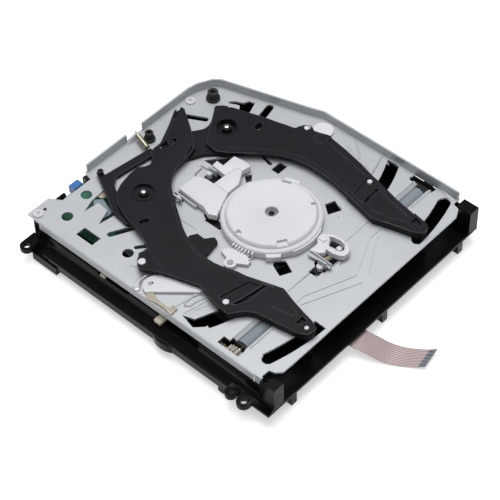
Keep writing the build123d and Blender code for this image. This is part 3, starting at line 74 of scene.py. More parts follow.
class Nodes:
    """Adds nodes to one material and links them by name."""

    def __init__(self, name):
        self.material = bpy.data.materials.new(name)
        self.material.use_nodes = True
        self.tree = self.material.node_tree
        self.shader = self.tree.nodes["Principled BSDF"]
        self.where = self.add("ShaderNodeTexCoord").outputs["Object"]

    def add(self, kind, **values):
        node = self.tree.nodes.new(kind)
        for key, value in values.items():
            setattr(node, key, value)
        return node

    def link(self, source, socket):
        self.tree.links.new(source, socket)

    def noise(self, scale, detail=3.0, stretch=(1, 1, 1)):
        place = self.add("ShaderNodeMapping")
        place.inputs["Scale"].default_value = stretch
        self.link(self.where, place.inputs["Vector"])
        texture = self.add("ShaderNodeTexNoise")
        texture.inputs["Scale"].default_value = scale
        texture.inputs["Detail"].default_value = detail
        self.link(place.outputs["Vector"], texture.inputs["Vector"])
        return texture.outputs["Fac"]

    def ramp(self, factor, stops):
        node = self.add("ShaderNodeValToRGB")
        elements = node.color_ramp.elements
        while len(elements) < len(stops):
            elements.new(0.5)
        for element, (place, colour) in zip(elements, stops):
            element.position = place
            element.color = (*colour, 1)
        self.link(factor, node.inputs["Fac"])
        return node.outputs["Color"]

    def compute(self, operation, first, second):
        """The result of one operation on two values; the second is a socket or a number."""
        node = self.add("ShaderNodeMath", operation=operation)
        self.link(first, node.inputs[0])
        if isinstance(second, (int, float)):
            node.inputs[1].default_value = second
        else:
            self.link(second, node.inputs[1])
        return node.outputs[0]

    def bump(self, height, strength, depth):
        node = self.add("ShaderNodeBump")
        node.inputs["Strength"].default_value = strength
        node.inputs["Distance"].default_value = depth
        self.link(height, node.inputs["Height"])
        self.link(node.outputs["Normal"], self.shader.inputs["Normal"])


def tint(colour, share):
    return tuple(min(1.0, value * share) for value in colour)


def plain(name, colour, rough, metal=0.0, grain=2400, relief=0.00002, spread=0.05, stretch=(1, 1, 1),
          coat=0.0, level=0.5):
    """A moulded, turned or painted surface: grain with a relief in metres, and patches of tone and gloss."""
    kit = Nodes(name)
    shader = kit.shader
    shader.inputs["Metallic"].default_value = metal
    shader.inputs["Specular IOR Level"].default_value = level
    shader.inputs["Coat Weight"].default_value = coat
    patches = kit.noise(patch_scale, 4, stretch)
    tone = kit.ramp(patches, [(0.3, tint(colour, 1 - spread)), (0.7, tint(colour, 1 + spread))])
    kit.link(tone, shader.inputs["Base Color"])
    smooth = max(0.02, rough - gloss_spread)
    dull = rough + gloss_spread
    gloss = kit.ramp(kit.noise(gloss_scale, 3, stretch), [(0.3, (smooth,) * 3), (0.7, (dull,) * 3)])
    kit.link(gloss, shader.inputs["Roughness"])
    kit.bump(kit.noise(grain, 2, stretch), 0.5, relief)
    return kit.material


sheet_metal = plain("sheet_metal", (0.50, 0.52, 0.54), 0.44, metal=0.35, grain=2600, spread=0.03)
deck_metal = plain("deck_metal", (0.42, 0.45, 0.47), 0.34, metal=0.85, grain=2600, spread=0.04)
blue_steel = plain("blue_steel", (0.25, 0.32, 0.36), 0.34, metal=0.5, grain=2600, spread=0.04)
bright_zinc = plain("bright_zinc", (0.74, 0.75, 0.77), 0.30, metal=0.4, grain=1500, relief=0.00001)
screw_steel = plain("screw_steel", (0.62, 0.63, 0.65), 0.28, metal=0.95, grain=1500, relief=0.00001)
spring_steel = plain("spring_steel", (0.52, 0.47, 0.38), 0.30, metal=0.9, grain=900, relief=0.00001)
turned_steel = plain("turned_steel", (0.56, 0.56, 0.57), 0.24, metal=1.0, grain=900, relief=0.00001,
                     stretch=(0.06, 1, 1))
gold_solder = plain("gold_solder", (0.50, 0.38, 0.16), 0.3, metal=0.9, grain=1500, spread=0.1)
frame_plastic = plain("frame_plastic", (0.0048, 0.0046, 0.0052), 0.22, spread=0.15, level=0.10)
arm_plastic = plain("arm_plastic", (0.0150, 0.0138, 0.0172), 0.42, grain=2600, relief=0.00004, spread=0.10,
                    level=0.10)
# Twice as light as the arms' plastic and glossier: a painted highlight on their rims
rim_painted_highlight = plain("rim_painted_highlight", (0.030, 0.028, 0.034), 0.30, grain=2600, spread=0.10, level=0.40)
black_plastic = plain("black_plastic", (0.010, 0.010, 0.011), 0.34, spread=0.1, level=0.3)
white_plastic = plain("white_plastic", (0.68, 0.685, 0.71), 0.44, spread=0.03, level=0.3)
ivory_plastic = plain("ivory_plastic", (0.60, 0.53, 0.40), 0.40)
beige_plastic = plain("beige_plastic", (0.58, 0.53, 0.42), 0.42, spread=0.04)
gear_plastic = plain("gear_plastic", (0.42, 0.39, 0.34), 0.40)
smoky_plastic = plain("smoky_plastic", (0.42, 0.38, 0.30), 0.36, spread=0.06)
blue_plastic = plain("blue_plastic", (0.04, 0.16, 0.44), 0.32, spread=0.06)
peach_film = plain("peach_film", (0.48, 0.38, 0.31), 0.4, spread=0.04)
roller_rubber = plain("roller_rubber", (0.22, 0.26, 0.285), 0.62, grain=3000, relief=0.00006)
black_rubber = plain("black_rubber", (0.018, 0.018, 0.018), 0.70, grain=2600, relief=0.00008, spread=0.1)
lens_glass = plain("lens_glass", (0.10, 0.12, 0.30), 0.05, grain=400, relief=0.000001, spread=0.2, coat=1.0,
                   level=0.9)


def board_material():
    """Solder mask with copper tracks showing through as paler lines."""
    kit = Nodes("board")
    tracks = kit.add("ShaderNodeTexBrick")
    tracks.offset = 0.4
    tracks.inputs["Scale"].default_value = 420
    tracks.inputs["Mortar Size"].default_value = 0.03
    tracks.inputs["Color1"].default_value = (0.03, 0.16, 0.09, 1)
    tracks.inputs["Color2"].default_value = (0.035, 0.19, 0.11, 1)
    tracks.inputs["Mortar"].default_value = (0.09, 0.33, 0.20, 1)
    kit.link(kit.where, tracks.inputs["Vector"])
    kit.link(tracks.outputs["Color"], kit.shader.inputs["Base Color"])
    kit.shader.inputs["Roughness"].default_value = 0.35
    kit.bump(kit.noise(1500), 0.3, 0.00001)
    return kit.material


# Finish of each CAD node; those not named here are turned steel

finishes = (
    (sheet_metal, ("top_plate",)),
    (deck_metal, ("traverse_deck",)),
    (bright_zinc, ("plate_screws",)),
    (frame_plastic, ("base_frame",)),
    (arm_plastic, ("left_arm", "right_arm", "left_feelers", "right_feelers", "left_pivot_post",
                   "right_pivot_post", "lock_lever")),
    (black_plastic, ("turntable", "pickup_sled", "left_bearing", "right_bearing", "black_connector",
                     "ribbon_socket", "floor_socket")),
    (white_plastic, ("clamp_ring", "clamp_cover", "clamp_puck", "sector_lever", "rear_bracket", "front_lever",
                     "detect_lever", "guide_cap")),
    (ivory_plastic, ("drive_gear", "motor_pinion")),
    (beige_plastic, ("cam_slider", "detect_link")),
    (gear_plastic, ("roller_gear",)),
    (blue_plastic, ("blue_connector",)),
    (roller_rubber, ("left_roller", "right_roller")),
    (black_rubber, ("rubber_bumpers",)),
    (board_material(), ("circuit_board",)),
    (lens_glass, ("pickup_lens",)),
)
surface_of = {name: surface for surface, names in finishes for name in names}
for name, node in nodes.items():
    node.data.materials.clear()
    node.data.materials.append(surface_of.get(name, turned_steel))


# Ribbon cable: a flat strip on the route that its solid follows

ribbon_width = 0.0116
ribbon_thickness = 0.0003
ribbon_columns = 24
conductors = 12
bare_end = 0.0034
across_start = Vector((0.9135, 0.4067, 0)).normalized()
across_end = Vector((0.985, 0.17, 0)).normalized()
route = [
    (-0.02136, -0.04549, 0.00620),
    (-0.0190, -0.0570, 0.0048),
    (-0.0172, -0.0680, 0.0024),
    (-0.0152, -0.0770, 0.0062),
    (-0.0132, -0.0850, 0.0052),
    (-0.0090, -0.0948, 0.0006),
    (-0.0022, -0.1060, 0.0006),
    (0.0006, -0.1102, 0.0024),
]
line_data = bpy.data.curves.new("ribbon_line", "CURVE")
line_data.dimensions = "3D"
spline = line_data.splines.new("NURBS")
spline.points.add(len(route) - 1)
for point, place in zip(spline.points, route):
    point.co = (*place, 1)
spline.order_u = 3
spline.use_endpoint_u = True
spline.resolution_u = 14
line = bpy.data.objects.new("ribbon_line", line_data)
scene.collection.objects.link(line)
bpy.context.view_layer.update()
path = [vertex.co.copy() for vertex in bpy.data.meshes.new_from_object(line).vertices]
bpy.data.objects.remove(line)


def ribbon_mesh():
    """The strip's skin, with u across its width and v in metres along it."""
    mesh = bpy.data.meshes.new("ribbon")
    shape = bmesh.new()
    layer = shape.loops.layers.uv.new("UVMap")
    run = [0.0]
    for first, second in zip(path, path[1:]):
        run.append(run[-1] + (second - first).length)
    rings = []
    for number, point in enumerate(path):
        before = path[max(0, number - 1)]
        after = path[min(len(path) - 1, number + 1)]
        across = across_start.lerp(across_end, run[number] / run[-1]).normalized()
        rise = (after - before).cross(across)
        rise = rise.normalized() * (-1 if rise.z < 0 else 1)
        ring = []
        for side in (1, -1):
            for step in range(ribbon_columns + 1):
                share = step / ribbon_columns if side > 0 else 1 - step / ribbon_columns
                spread = across * (share - 0.5) * ribbon_width
                ring.append(shape.verts.new(point + spread + rise * side * ribbon_thickness / 2))
        rings.append(ring)
    count = 2 * (ribbon_columns + 1)
    for number, (lower, upper) in enumerate(zip(rings, rings[1:])):
        for step in range(count):
            ahead = (step + 1) % count
            face = shape.faces.new((lower[step], lower[ahead], upper[ahead], upper[step]))
            places = [(step, number), (step + 1, number), (step + 1, number + 1), (step, number + 1)]
            for loop, (column, row) in zip(face.loops, places):
                share = min(column, count - column) / ribbon_columns
                loop[layer].uv = (min(1.0, share), run[row])
    shape.faces.new(rings[0])
    shape.faces.new(rings[-1])
    bmesh.ops.recalc_face_normals(shape, faces=shape.faces)
    shape.to_mesh(mesh)
    shape.free()
    return mesh, run[-1]


def ribbon_material(length):
    """Flat conductors seen through the film, dark contacts at the bare end."""
    film, edge, copper = (0.60, 0.52, 0.53), (0.34, 0.20, 0.19), (0.26, 0.14, 0.13)
    stiffener, contact = (0.50, 0.56, 0.64), (0.012, 0.012, 0.012)
    kit = Nodes("ribbon_film")
    split = kit.add("ShaderNodeSeparateXYZ")
    kit.link(kit.add("ShaderNodeUVMap", uv_map="UVMap").outputs["UV"], split.inputs["Vector"])
    wave = kit.compute("FRACT", kit.compute("MULTIPLY", split.outputs["X"], conductors), 0)
    stripes = kit.ramp(wave, [(0.20, film), (0.34, edge), (0.50, copper), (0.66, edge), (0.80, film)])
    contacts = kit.ramp(wave, [(0.14, stiffener), (0.20, contact), (0.80, contact), (0.86, stiffener)])
    mix = kit.add("ShaderNodeMix", data_type="RGBA")
    kit.link(kit.compute("GREATER_THAN", split.outputs["Y"], length - bare_end), mix.inputs["Factor"])
    kit.link(stripes, mix.inputs[6])
    kit.link(contacts, mix.inputs[7])
    kit.link(mix.outputs[2], kit.shader.inputs["Base Color"])
    kit.shader.inputs["Roughness"].default_value = 0.22
    kit.bump(wave, 0.15, 0.00003)
    return kit.material


mesh, ribbon_length = ribbon_mesh()
mesh.materials.append(ribbon_material(ribbon_length))
ribbon = bpy.data.objects.new("ribbon", mesh)
scene.collection.objects.link(ribbon)
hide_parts("ribbon_cable")
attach(ribbon, "base")


# Tools for the small parts; lengths in millimetres, x from the middle of the disc, z from the ground

disc_x = 2.5
plate = 22.0
weld = 0.000002
flat_angle = math.radians(0.4)
level_normal = 0.98
smooth_below = 35


def mm(x, y, z):
    return Vector((x + disc_x, y, z)) / 1000


# Some outlines are drawn on a plan, which is the camera's view laid down on the plate. These are the place
# of its origin, and how far right and back a point appears on it for each millimetre over the plate.
plan_x, plan_y = 3.4, -10.1
lean_x, lean_y = 0.64, 0.62


def plan(height, points):
    """Points of the plan moved to where they lie at a height over the plate."""
    return [(x + plan_x - lean_x * height, y + plan_y - lean_y * height) for x, y in points]


def circle(x, y, radius, sides=48):
    turns = [math.tau * step / sides for step in range(sides)]
    return [(x + radius * math.cos(turn), y + radius * math.sin(turn)) for turn in turns]


def rectangle(west, east, south, north):
    return [(west, south), (east, south), (east, north), (west, north)]


def shrunk(outline, share, x, y):
    """An outline drawn in towards a point."""
    return [(here * share + x * (1 - share), there * share + y * (1 - share)) for here, there in outline]


def raised(outline, level):
    return [(x, y, level) for x, y in outline]


def area(outline):
    """Area of an outline, below zero where it runs clockwise."""
    return sum(x0 * y1 - x1 * y0 for (x0, y0), (x1, y1) in zip(outline, outline[1:] + outline[:1])) / 2


def mesh_of(shape, name):
    """The finished mesh of a bmesh, which is freed."""
    bmesh.ops.recalc_face_normals(shape, faces=shape.faces)
    mesh = bpy.data.meshes.new(name)
    shape.to_mesh(mesh)
    shape.free()
    return mesh


def linked(name, mesh):
    item = bpy.data.objects.new(name, mesh)
    scene.collection.objects.link(item)
    return item


def dressed(name, mesh, surface, body, replace=(), smooth=smooth_below):
    """Makes a mesh into a piece that rides on a body."""
    mesh.materials.clear()
    mesh.materials.append(surface)
    mesh.polygons.foreach_set("use_smooth", [True] * len(mesh.polygons))
    mesh.set_sharp_from_angle(angle=math.radians(smooth))
    item = linked(name, mesh)
    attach(item, body)
    if replace:
        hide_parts(*replace)
    return item


class Part:
    """Collects skins for one piece, then hands it to a body."""

    def __init__(self, name):
        self.name = name
        self.shape = bmesh.new()

    def skin(self, rings, closed=False):
        """A skin over rings of points: closed into a loop of rings, or with a cap at each end."""
        made = [[self.shape.verts.new(mm(*point)) for point in ring] for ring in rings]
        pairs = list(zip(made, made[1:])) + ([(made[-1], made[0])] if closed else [])
        for lower, upper in pairs:
            for here in range(len(lower)):
                there = (here + 1) % len(lower)
                self.shape.faces.new((lower[here], lower[there], upper[there], upper[here]))
        if not closed:
            self.shape.faces.new(made[0][::-1])
            self.shape.faces.new(made[-1])
        return self

    def prism(self, outline, low, high, rim=0.0):
        """Upright block over an outline; rim is the width of its rounded upper edge."""
        levels = [(low, 0), (high, 0)]
        if rim:
            levels = [(low, 0), (high - rim, 0), (high - 0.3 * rim, 0.3 * rim), (high, rim)]
        way = -1 if area(outline) < 0 else 1
        rings = []
        for level, inset in levels:
            ring = []
            for number, (x, y) in enumerate(outline):
                x0, y0 = outline[number - 1]
                x1, y1 = outline[(number + 1) % len(outline)]
                out = Vector((y1 - y0, x0 - x1)).normalized() * way
                ring.append((x - out.x * inset, y - out.y * inset, level))
            rings.append(ring)
        return self.skin(rings)

    def turned(self, x, y, profile, closed=False, sides=96):
        """Solid of revolution about an upright axis, from pairs of radius and level."""
        return self.skin([raised(circle(x, y, radius, sides), level) for radius, level in profile], closed)

    def stud(self, x, y, radius, levels, bevel=0.3, tip=0.3):
        """A pin with a bevelled head; levels are its foot, the ends of its side and bevel, and its tip."""
        foot, side, shoulder, top = levels
        profile = [(radius, foot), (radius, side), (radius - bevel, shoulder), (tip, top)]
        return self.turned(x, y, profile, sides=32)

    def tube(self, points, radius, sides=10):
        """A round bar along a line of points."""
        line = [Vector(point) for point in points]
        rings = []
        guide = Vector((0, 0, 1))
        for number, point in enumerate(line):
            ahead = (line[min(len(line) - 1, number + 1)] - line[max(0, number - 1)]).normalized()
            side = ahead.cross(guide)
            runs_along_guide = side.length < 0.1
            if runs_along_guide:
                side = ahead.cross(Vector((1, 0, 0)))
            side.normalize()
            guide = side.cross(ahead).normalized()
            turns = [math.tau * step / sides for step in range(sides)]
            spokes = [side * math.cos(turn) + guide * math.sin(turn) for turn in turns]
            rings.append([point + spoke * radius for spoke in spokes])
        return self.skin(rings)

    def done(self, surface, body="base", slot="steel", replace=(), smooth=smooth_below):
        return dressed(self.name, mesh_of(self.shape, self.name), surface, body, replace, smooth)


def boolean(item, kind, part, overlapping=True):
    """Adds a part, whose blocks may overlap, to an item or takes it away; its object is removed later."""
    tool = linked(part.name, mesh_of(part.shape, part.name))
    change = item.modifiers.new(kind, "BOOLEAN")
    change.operation = kind
    change.object = tool
    change.solver = "EXACT"
    change.use_self = overlapping
    return tool


def applied(item):
    """The item's mesh with its modifiers worked in."""
    bpy.context.view_layer.update()
    return bpy.data.meshes.new_from_object(item.evaluated_get(bpy.context.evaluated_depsgraph_get()))


def carved(node, name, surface, body, cuts, fills=()):
    """Replaces a CAD node by a copy of it with prisms added and taken away."""
    shape = bmesh.new()
    shape.from_mesh(nodes[node].data)
    bmesh.ops.remove_doubles(shape, verts=shape.verts, dist=weld)
    bmesh.ops.dissolve_limit(shape, angle_limit=flat_angle, verts=shape.verts, edges=shape.edges)
    mesh = bpy.data.meshes.new(name + "_base")
    shape.to_mesh(mesh)
    shape.free()
    helpers = [linked(name + "_base", mesh)]
    for kind, blocks in (("UNION", fills), ("DIFFERENCE", cuts)):
        if blocks:
            part = Part(name + kind)
            for outline, low, high in blocks:
                part.prism(outline, low, high)
            helpers.append(boolean(helpers[0], kind, part))
    result = applied(helpers[0])
    for helper in helpers:
        bpy.data.objects.remove(helper)
    item = dressed(name, result, surface, body, (node,), 30)
    even = item.modifiers.new("weighted", "WEIGHTED_NORMAL")
    even.keep_sharp = True
    even.weight = 100
    return item


def rims(node, low, radius, pivot=(0, 0)):
    """Round beads along the edges of a node's upper faces over a level, but not round its pivot, painted
    light as a highlight.
    """
    around_pivot = 6
    shortest_step = 0.12
    sunk = 0.35 * radius
    shape = bmesh.new()
    shape.from_mesh(nodes[node].data)
    bmesh.ops.remove_doubles(shape, verts=shape.verts, dist=weld)
    tops = {face for face in shape.faces
            if face.normal.z > level_normal and all(vertex.co.z * 1000 > low for vertex in face.verts)}
    waiting = dict.fromkeys(edge for edge in shape.edges
                            if sum(face in tops for face in edge.link_faces) == 1)
    part = Part(node + "_rims")
    while waiting:
        edge = next(iter(waiting))
        loop = [edge.verts[0], edge.verts[1]]
        while edge:
            del waiting[edge]
            edge = next((other for other in loop[-1].link_edges if other in waiting), None)
            if edge:
                loop.append(edge.other_vert(loop[-1]))
        line = [vertex.co * 1000 for vertex in loop]
        if all(math.hypot(point.x - disc_x - pivot[0], point.y - pivot[1]) < around_pivot for point in line):
            continue
        kept = [line[0]]
        for point in line[1:]:
            if (point - kept[-1]).length > shortest_step:
                kept.append(point)
        if len(kept) > 2:
            part.tube([(point.x - disc_x, point.y, point.z - sunk) for point in kept], radius, 6)
    shape.free()
    return part.done(rim_painted_highlight, node, "arm_plastic", smooth=60)


# Top plate: the CAD sheet with its windows moved and cut to the shapes in the photograph

sheet = 1.0
past_sheet = 0.2
inside_sheet = 0.001
through = (plate - sheet - past_sheet, plate + past_sheet)
within = (plate - sheet + inside_sheet, plate - inside_sheet)

# Openings that the view shows well are drawn on the plan, the others in the plate's own place
windows = [
    plan(0, [(-20.9, -20.3), (-17.6, -24.2), (-20.8, -31.0), (-26.4, -28.2), (-23.6, -21.6)]),
    plan(0, [(16.6, -20.0), (20.7, -14.6), (25.6, -16.6), (22.8, -23.0)]),
    [(-7.2, -45.2), (-3.6, -43.4), (-0.8, -44.6), (2.4, -48.2), (5.2, -50.9), (3.4, -52.3), (-8.3, -52.2),
     (-9.1, -48.5)],
    [(10.5, -38.6), (11.7, -39.8), (11.1, -48.2), (9.0, -50.3), (6.6, -49.1), (5.6, -42.8)],
    [(-16.8, 34.0), (-14.8, 33.0), (-14.8, 27.0), (-19.3, 26.4), (-19.5, 29.6)],
    [(-17.6, 14.0), (-15.2, 13.6), (-14.0, 7.2), (-18.5, 4.3), (-19.6, 7.4), (-19.1, 11.7)],
    [(8.0, 38.1), (19.3, 28.8), (11.4, 27.8), (8.0, 29.0)],
    [(-3.4, 30.4), (-3.4, 20.6), (6.6, 20.6), (6.6, 30.4)],
    [(10.2, 12.6), (13.2, 16.4), (16.2, 14.2), (12.8, 11.4)],
    plan(0, [(22.8, 21.4), (24.4, 21.6), (25.4, 26.4), (27.2, 31.4), (25.8, 31.8), (23.8, 27.4)]),
    plan(0, [(41.4, 66.0), (42.4, 66.6), (44.6, 64.4), (46.4, 60.4), (49.0, 59.4), (50.0, 56.2), (42.6, 53.4),
             (40.0, 58.0), (43.8, 60.8)]),
    [(-68.5, -20.8), (-66.6, -26.6), (-50.9, -33.0), (-48.0, -33.5), (-48.0, -37.6), (-51.3, -37.0),
     (-66.8, -33.2), (-70.6, -29.3)],
    plan(0, [(61.0, -19.0), (62.6, -18.2), (62.8, -23.8), (60.0, -24.8)]),
    plan(0, [(59.0, -34.6), (60.6, -33.2), (61.2, -35.0), (63.6, -37.4), (63.6, -47.6), (59.0, -47.4)]),
    circle(-64.4, 72.4, 0.9, 20),
]
filled_corners = [
    plan(0, [(-27.4, -26.0), (-26.0, -33.0), (-17.0, -33.0), (-17.0, -24.0)]),
    plan(0, [(15.0, -23.6), (16.4, -17.0), (24.6, -16.0), (24.6, -25.6)]),
    plan(0, [(42.4, 62.0), (42.4, 53.6), (50.4, 53.6), (50.4, 62.0)]),
]
slot_ends = (
    ((-63.5, -62.9), (-65.2, -67.8), (-57.9, -67.1)),
    ((62.9, -62.5), (64.8, -68.0), (57.5, -66.8)),
    ((32.5, -68.6), (32.6, -74.0), (36.5, -71.4)),
)


def rounding(first, last, inside):
    """Two outlines that fill the corners of a slot's end, given the corners and a point in the slot."""
    overlap, reach, chamfer = 1.1, 1.7, 0.5
    first, last, inside = Vector(first), Vector(last), Vector(inside)
    along = (last - first).normalized()
    inward = Vector((-along.y, along.x))
    inward *= -1 if inward.dot(inside - first) < 0 else 1
    steps = ((-overlap, -overlap), (reach, -overlap), (reach, 0), (chamfer, chamfer), (0, reach),
             (-overlap, reach))
    return [[tuple(corner + way * over + inward * down) for over, down in steps]
            for corner, way in ((first, along), (last, -along))]


for end in slot_ends:
    filled_corners += rounding(*end)
carved("top_plate", "plate_skin", sheet_metal, "base",
       cuts=[(outline, *through) for outline in windows],
       fills=[(outline, *within) for outline in filled_corners])


# Black sheet under the plate's openings: painted shade that makes them read dark

shade_sheet = Part("painted_shade_sheet")
for span in ((-20.6, -12.4, 3.2, 35.0), (6.8, 20.4, 26.6, 39.2), (-10.2, 12.8, -53.4, -37.6),
             (-4.6, 7.8, 19.4, 31.6), (9.4, 17.0, 10.6, 17.4), (24.0, 31.4, 9.6, 23.4)):
    shade_sheet.prism(rectangle(*span), plate - 1.9, plate - 1.3)
shade_sheet.done(black_plastic, slot="black_plastic")


# Ridges pressed into the plate, each with its height over the plate, its width and its line on the plan

ridges = Part("plate_ridges")
for height, width, line in (
    (0.60, 1.5, [(-56.0, -8.2), (-61.0, -6.9), (-65.6, -6.8), (-67.2, -8.0), (-66.2, -9.6), (-62.0, -10.2),
                 (-56.0, -12.4)]),
    (0.25, 0.7, [(-66.0, -13.2), (-61.0, -15.2), (-57.0, -17.4)]),
    (0.25, 0.7, [(-75.6, 82.0), (-75.6, -57.5), (-78.0, -59.6)]),
    (0.35, 1.0, [(50.0, -18.4), (56.0, -16.6), (63.0, -14.6)]),
    (0.30, 0.9, [(54.0, -8.0), (58.6, -3.0), (62.2, 2.0)]),
    (0.25, 0.8, [(-44.0, 30.0), (-36.6, 20.0)]),
):
    ridges.tube(raised(plan(0, line), plate - width / 2 + height), width / 2)
ridges.done(sheet_metal, slot="sheet_metal")


# Bent lips along the back and front of the two roller windows

lip_sheet = 0.7
lips = Part("roller_lips")
for start, end in ((-66.0, -46.4), (45.6, 60.0)):
    for near, far, drop in ((-36.6, -38.4, 1.4), (-45.8, -46.8, -0.2)):
        (x0, y0), (x1, y1) = plan(0, [(start, near), (end, far)])
        root = y0 + 0.4
        lips.skin([[(x, root, plate - 0.05), (x, y1, plate - drop), (x, y1, plate - drop - lip_sheet),
                    (x, root, plate - 0.9)] for x in (x0, x1)])
lips.done(sheet_metal, slot="sheet_metal")


# Front left post of the frame, stepped and notched at its top

over_post = 22.6
post_step = ([(-69.8, -68.5), (-62.6, -73.8), (-64.0, -78.0), (-70.8, -73.0)], 19.2, over_post)
post_notch = ([(-72.6, -73.0), (-71.2, -71.8), (-69.8, -73.8), (-71.2, -75.0)], 20.0, over_post)
carved("base_frame", "frame_skin", frame_plastic, "base", cuts=[post_step, post_notch])


# Back end of the outer trough, which runs on to the rear ear; its section is seen along y

trough = Part("trough_end")
section = [(-71.4, 17.6), (-72.0, 12.4), (-73.2, 9.0), (-75.0, 7.0), (-77.2, 6.0), (-78.0, 5.4), (-78.0, 0.8),
           (-71.4, 0.8)]
trough.skin([[(x, y, z) for x, z in section] for y in (53.4, 69.4)])
trough.done(frame_plastic, slot="frame_plastic")


# Clamp ring: teeth only where it meets the sector lever, and three flat lobes

ring_x, ring_y = 0.0, -13.0
ring_low, ring_shoulder, ring_high = 22.4, 25.2, 25.5
ring_radius, ring_bore = 24.0, 17.0
toothed = range(174, 202)
tooth_steps = (25.7, 25.7, 23.6, 23.6)
lobes = ((range(216, 232), 25.9), (range(10, 28), 25.6), (range(246, 292), 24.6))


def ring_reach(degree):
    """The ring's outer radius in a direction given in whole degrees."""
    if degree in toothed:
        return tooth_steps[degree % 4]
    return next((radius for span, radius in lobes if degree in span), ring_radius)


def clamp_ring():
    outer = []
    for degree in range(360):
        turn, reach = math.radians(degree), ring_reach(degree)
        outer.append((ring_x + reach * math.cos(turn), ring_y + reach * math.sin(turn)))
    inner = circle(ring_x, ring_y, ring_bore, 360)
    bevelled = shrunk(outer, 0.995, ring_x, ring_y)
    ring = Part("ring_body")
    ring.skin([raised(outer, ring_low), raised(outer, ring_shoulder), raised(bevelled, ring_high),
               raised(inner, ring_high), raised(inner, ring_low)], closed=True)
    ring.done(white_plastic, "clamp_ring", "white_plastic", ("clamp_ring",))


clamp_ring()


# Clamp cover: a shouldered disc with four pits, each given by its direction, width and length

cover_profile = [
    (17.2, 25.52), (23.6, 25.52), (23.7, 25.9), (23.3, 26.3), (22.0, 26.6), (21.5, 27.4), (21.1, 28.1),
    (20.5, 28.5), (19.2, 28.62), (17.8, 28.5), (3.4, 28.5), (3.2, 28.4), (3.2, 27.0), (3.1, 26.4),
    (17.2, 26.4),
]
hub_profile = [(3.15, 26.3), (3.15, 27.0), (2.2, 27.1), (1.5, 27.1), (1.5, 26.3)]
pit_radius = 19.9
pit_low, pit_high = 27.2, 29.0
pits = ((172, 2.4, 2.6), (236, 3.0, 5.0), (21, 1.4, 4.6), (-37, 2.4, 3.0))


def clamp_cover():
    cover = Part("cover_body").turned(ring_x, ring_y, cover_profile, closed=True, sides=160)
    item = cover.done(white_plastic, "clamp_ring", "white_plastic", ("clamp_cover",))
    cutter = Part("cover_pits")
    for direction, width, length in pits:
        turn = math.radians(direction)
        outward = Vector((math.cos(turn), math.sin(turn)))
        sideways = Vector((-outward.y, outward.x))
        middle = Vector((ring_x, ring_y)) + outward * pit_radius
        cutter.prism([tuple(middle + outward * x + sideways * y)
                      for x, y in rectangle(-width / 2, width / 2, -length / 2, length / 2)],
                     pit_low, pit_high)
    tool = boolean(item, "DIFFERENCE", cutter, overlapping=False)
    mesh = applied(item)
    item.modifiers.clear()
    item.data = mesh
    mesh.set_sharp_from_angle(angle=math.radians(smooth_below))
    bpy.data.objects.remove(tool)


clamp_cover()
Part("cover_hub").turned(ring_x, ring_y, hub_profile, closed=True).done(turned_steel, "clamp_ring")
# A black disc at the foot of the hub's bore: painted shade inside it
bore_shade = Part("cover_bore_shade").turned(ring_x, ring_y, [(1.5, 26.2), (1.5, 26.45)])
bore_shade.done(black_plastic, "clamp_ring", "black_plastic")


# Front lever: a loop on a shouldered block, with its metal leg, pins, coil spring and wire

lever_low, lever_high = plate + 1.0, plate + 4.0
loop_outer = [(8.2, -40.0), (9.5, -42.7), (10.0, -47.1), (9.5, -51.0), (7.9, -53.8), (5.6, -55.0),
              (2.8, -54.7), (1.5, -52.9), (0.3, -49.6), (0.6, -45.6), (2.7, -44.0)]
loop_inner = [(7.3, -41.8), (8.3, -43.7), (8.8, -47.4), (8.1, -50.4), (6.3, -52.0), (4.6, -52.4),
              (3.6, -51.4), (2.8, -49.8), (2.4, -47.4), (2.8, -45.6), (3.9, -44.0)]
lever = Part("front_lever_body")
lever.skin([raised(loop_outer, lever_low), raised(loop_outer, lever_high - 0.2),
            raised(shrunk(loop_outer, 0.97, 5.5, -47.5), lever_high), raised(loop_inner, lever_high),
            raised(loop_inner, lever_low)], closed=True)
lever.prism([(0.8, -40.4), (3.0, -38.2), (6.4, -37.6), (8.2, -40.0), (6.6, -43.2), (2.7, -45.2), (0.6, -45.8),
             (-1.3, -46.6), (-3.2, -44.6), (-4.6, -40.2)], lever_low, plate + 3.6, 0.35)
lever.prism([(3.2, -39.0), (6.2, -38.4), (7.0, -40.2), (5.6, -42.4), (2.8, -42.0)],
            plate + 3.0, plate + 4.2, 0.35)
lever.done(white_plastic, "front_lever", "white_plastic", ("front_lever", "lever_pin"))

leg = Part("lever_leg")
leg.prism([(-6.2, -40.2), (-3.7, -40.9), (-4.1, -47.0), (-4.3, -53.4), (-6.1, -53.6), (-5.6, -47.0)],
          plate + 1.2, plate + 2.0)
leg.prism([(-4.2, -41.0), (-3.7, -41.0), (-4.3, -53.4), (-4.8, -53.4)], plate + 1.2, plate + 3.4)
leg.done(sheet_metal, "front_lever", "sheet_metal")

pins = Part("lever_pins")
for x, y, radius in ((-6.9, -48.6, 1.7), (7.0, -48.2, 1.35)):
    pins.stud(x, y, radius, (plate - 1.8, plate + 0.9, plate + 1.1, plate + 1.15), bevel=0.35)
pins.done(white_plastic, slot="white_plastic")


def lever_spring():
    """Six turns that run right and a little to the front, half sunk in the plate."""
    turns, steps, radius = 6, 15, 1.0
    start_x, start_y, middle = -2.4, -47.0, plate - 0.2
    step_x, step_y = 0.034, -0.016
    points = []
    for step in range(turns * steps):
        turn = math.tau * step / steps
        points.append((start_x + step_x * step, start_y + step_y * step + radius * math.cos(turn),
                       middle + radius * math.sin(turn)))
    Part("lever_spring").tube(points, 0.18, 6).done(ivory_plastic, slot="ivory_plastic")


lever_spring()
Part("lever_wire").tube([(-8.6, -52.6, plate + 0.05), (-2.0, -52.8, plate + 0.1), (4.6, -52.6, plate + 0.1),
                         (4.9, -53.6, plate + 0.1), (-0.2, -54.6, plate + 0.05)], 0.2, 8).done(turned_steel)


# Rear bracket: one broad moulding with a window, a scooped corner and a stepped back edge

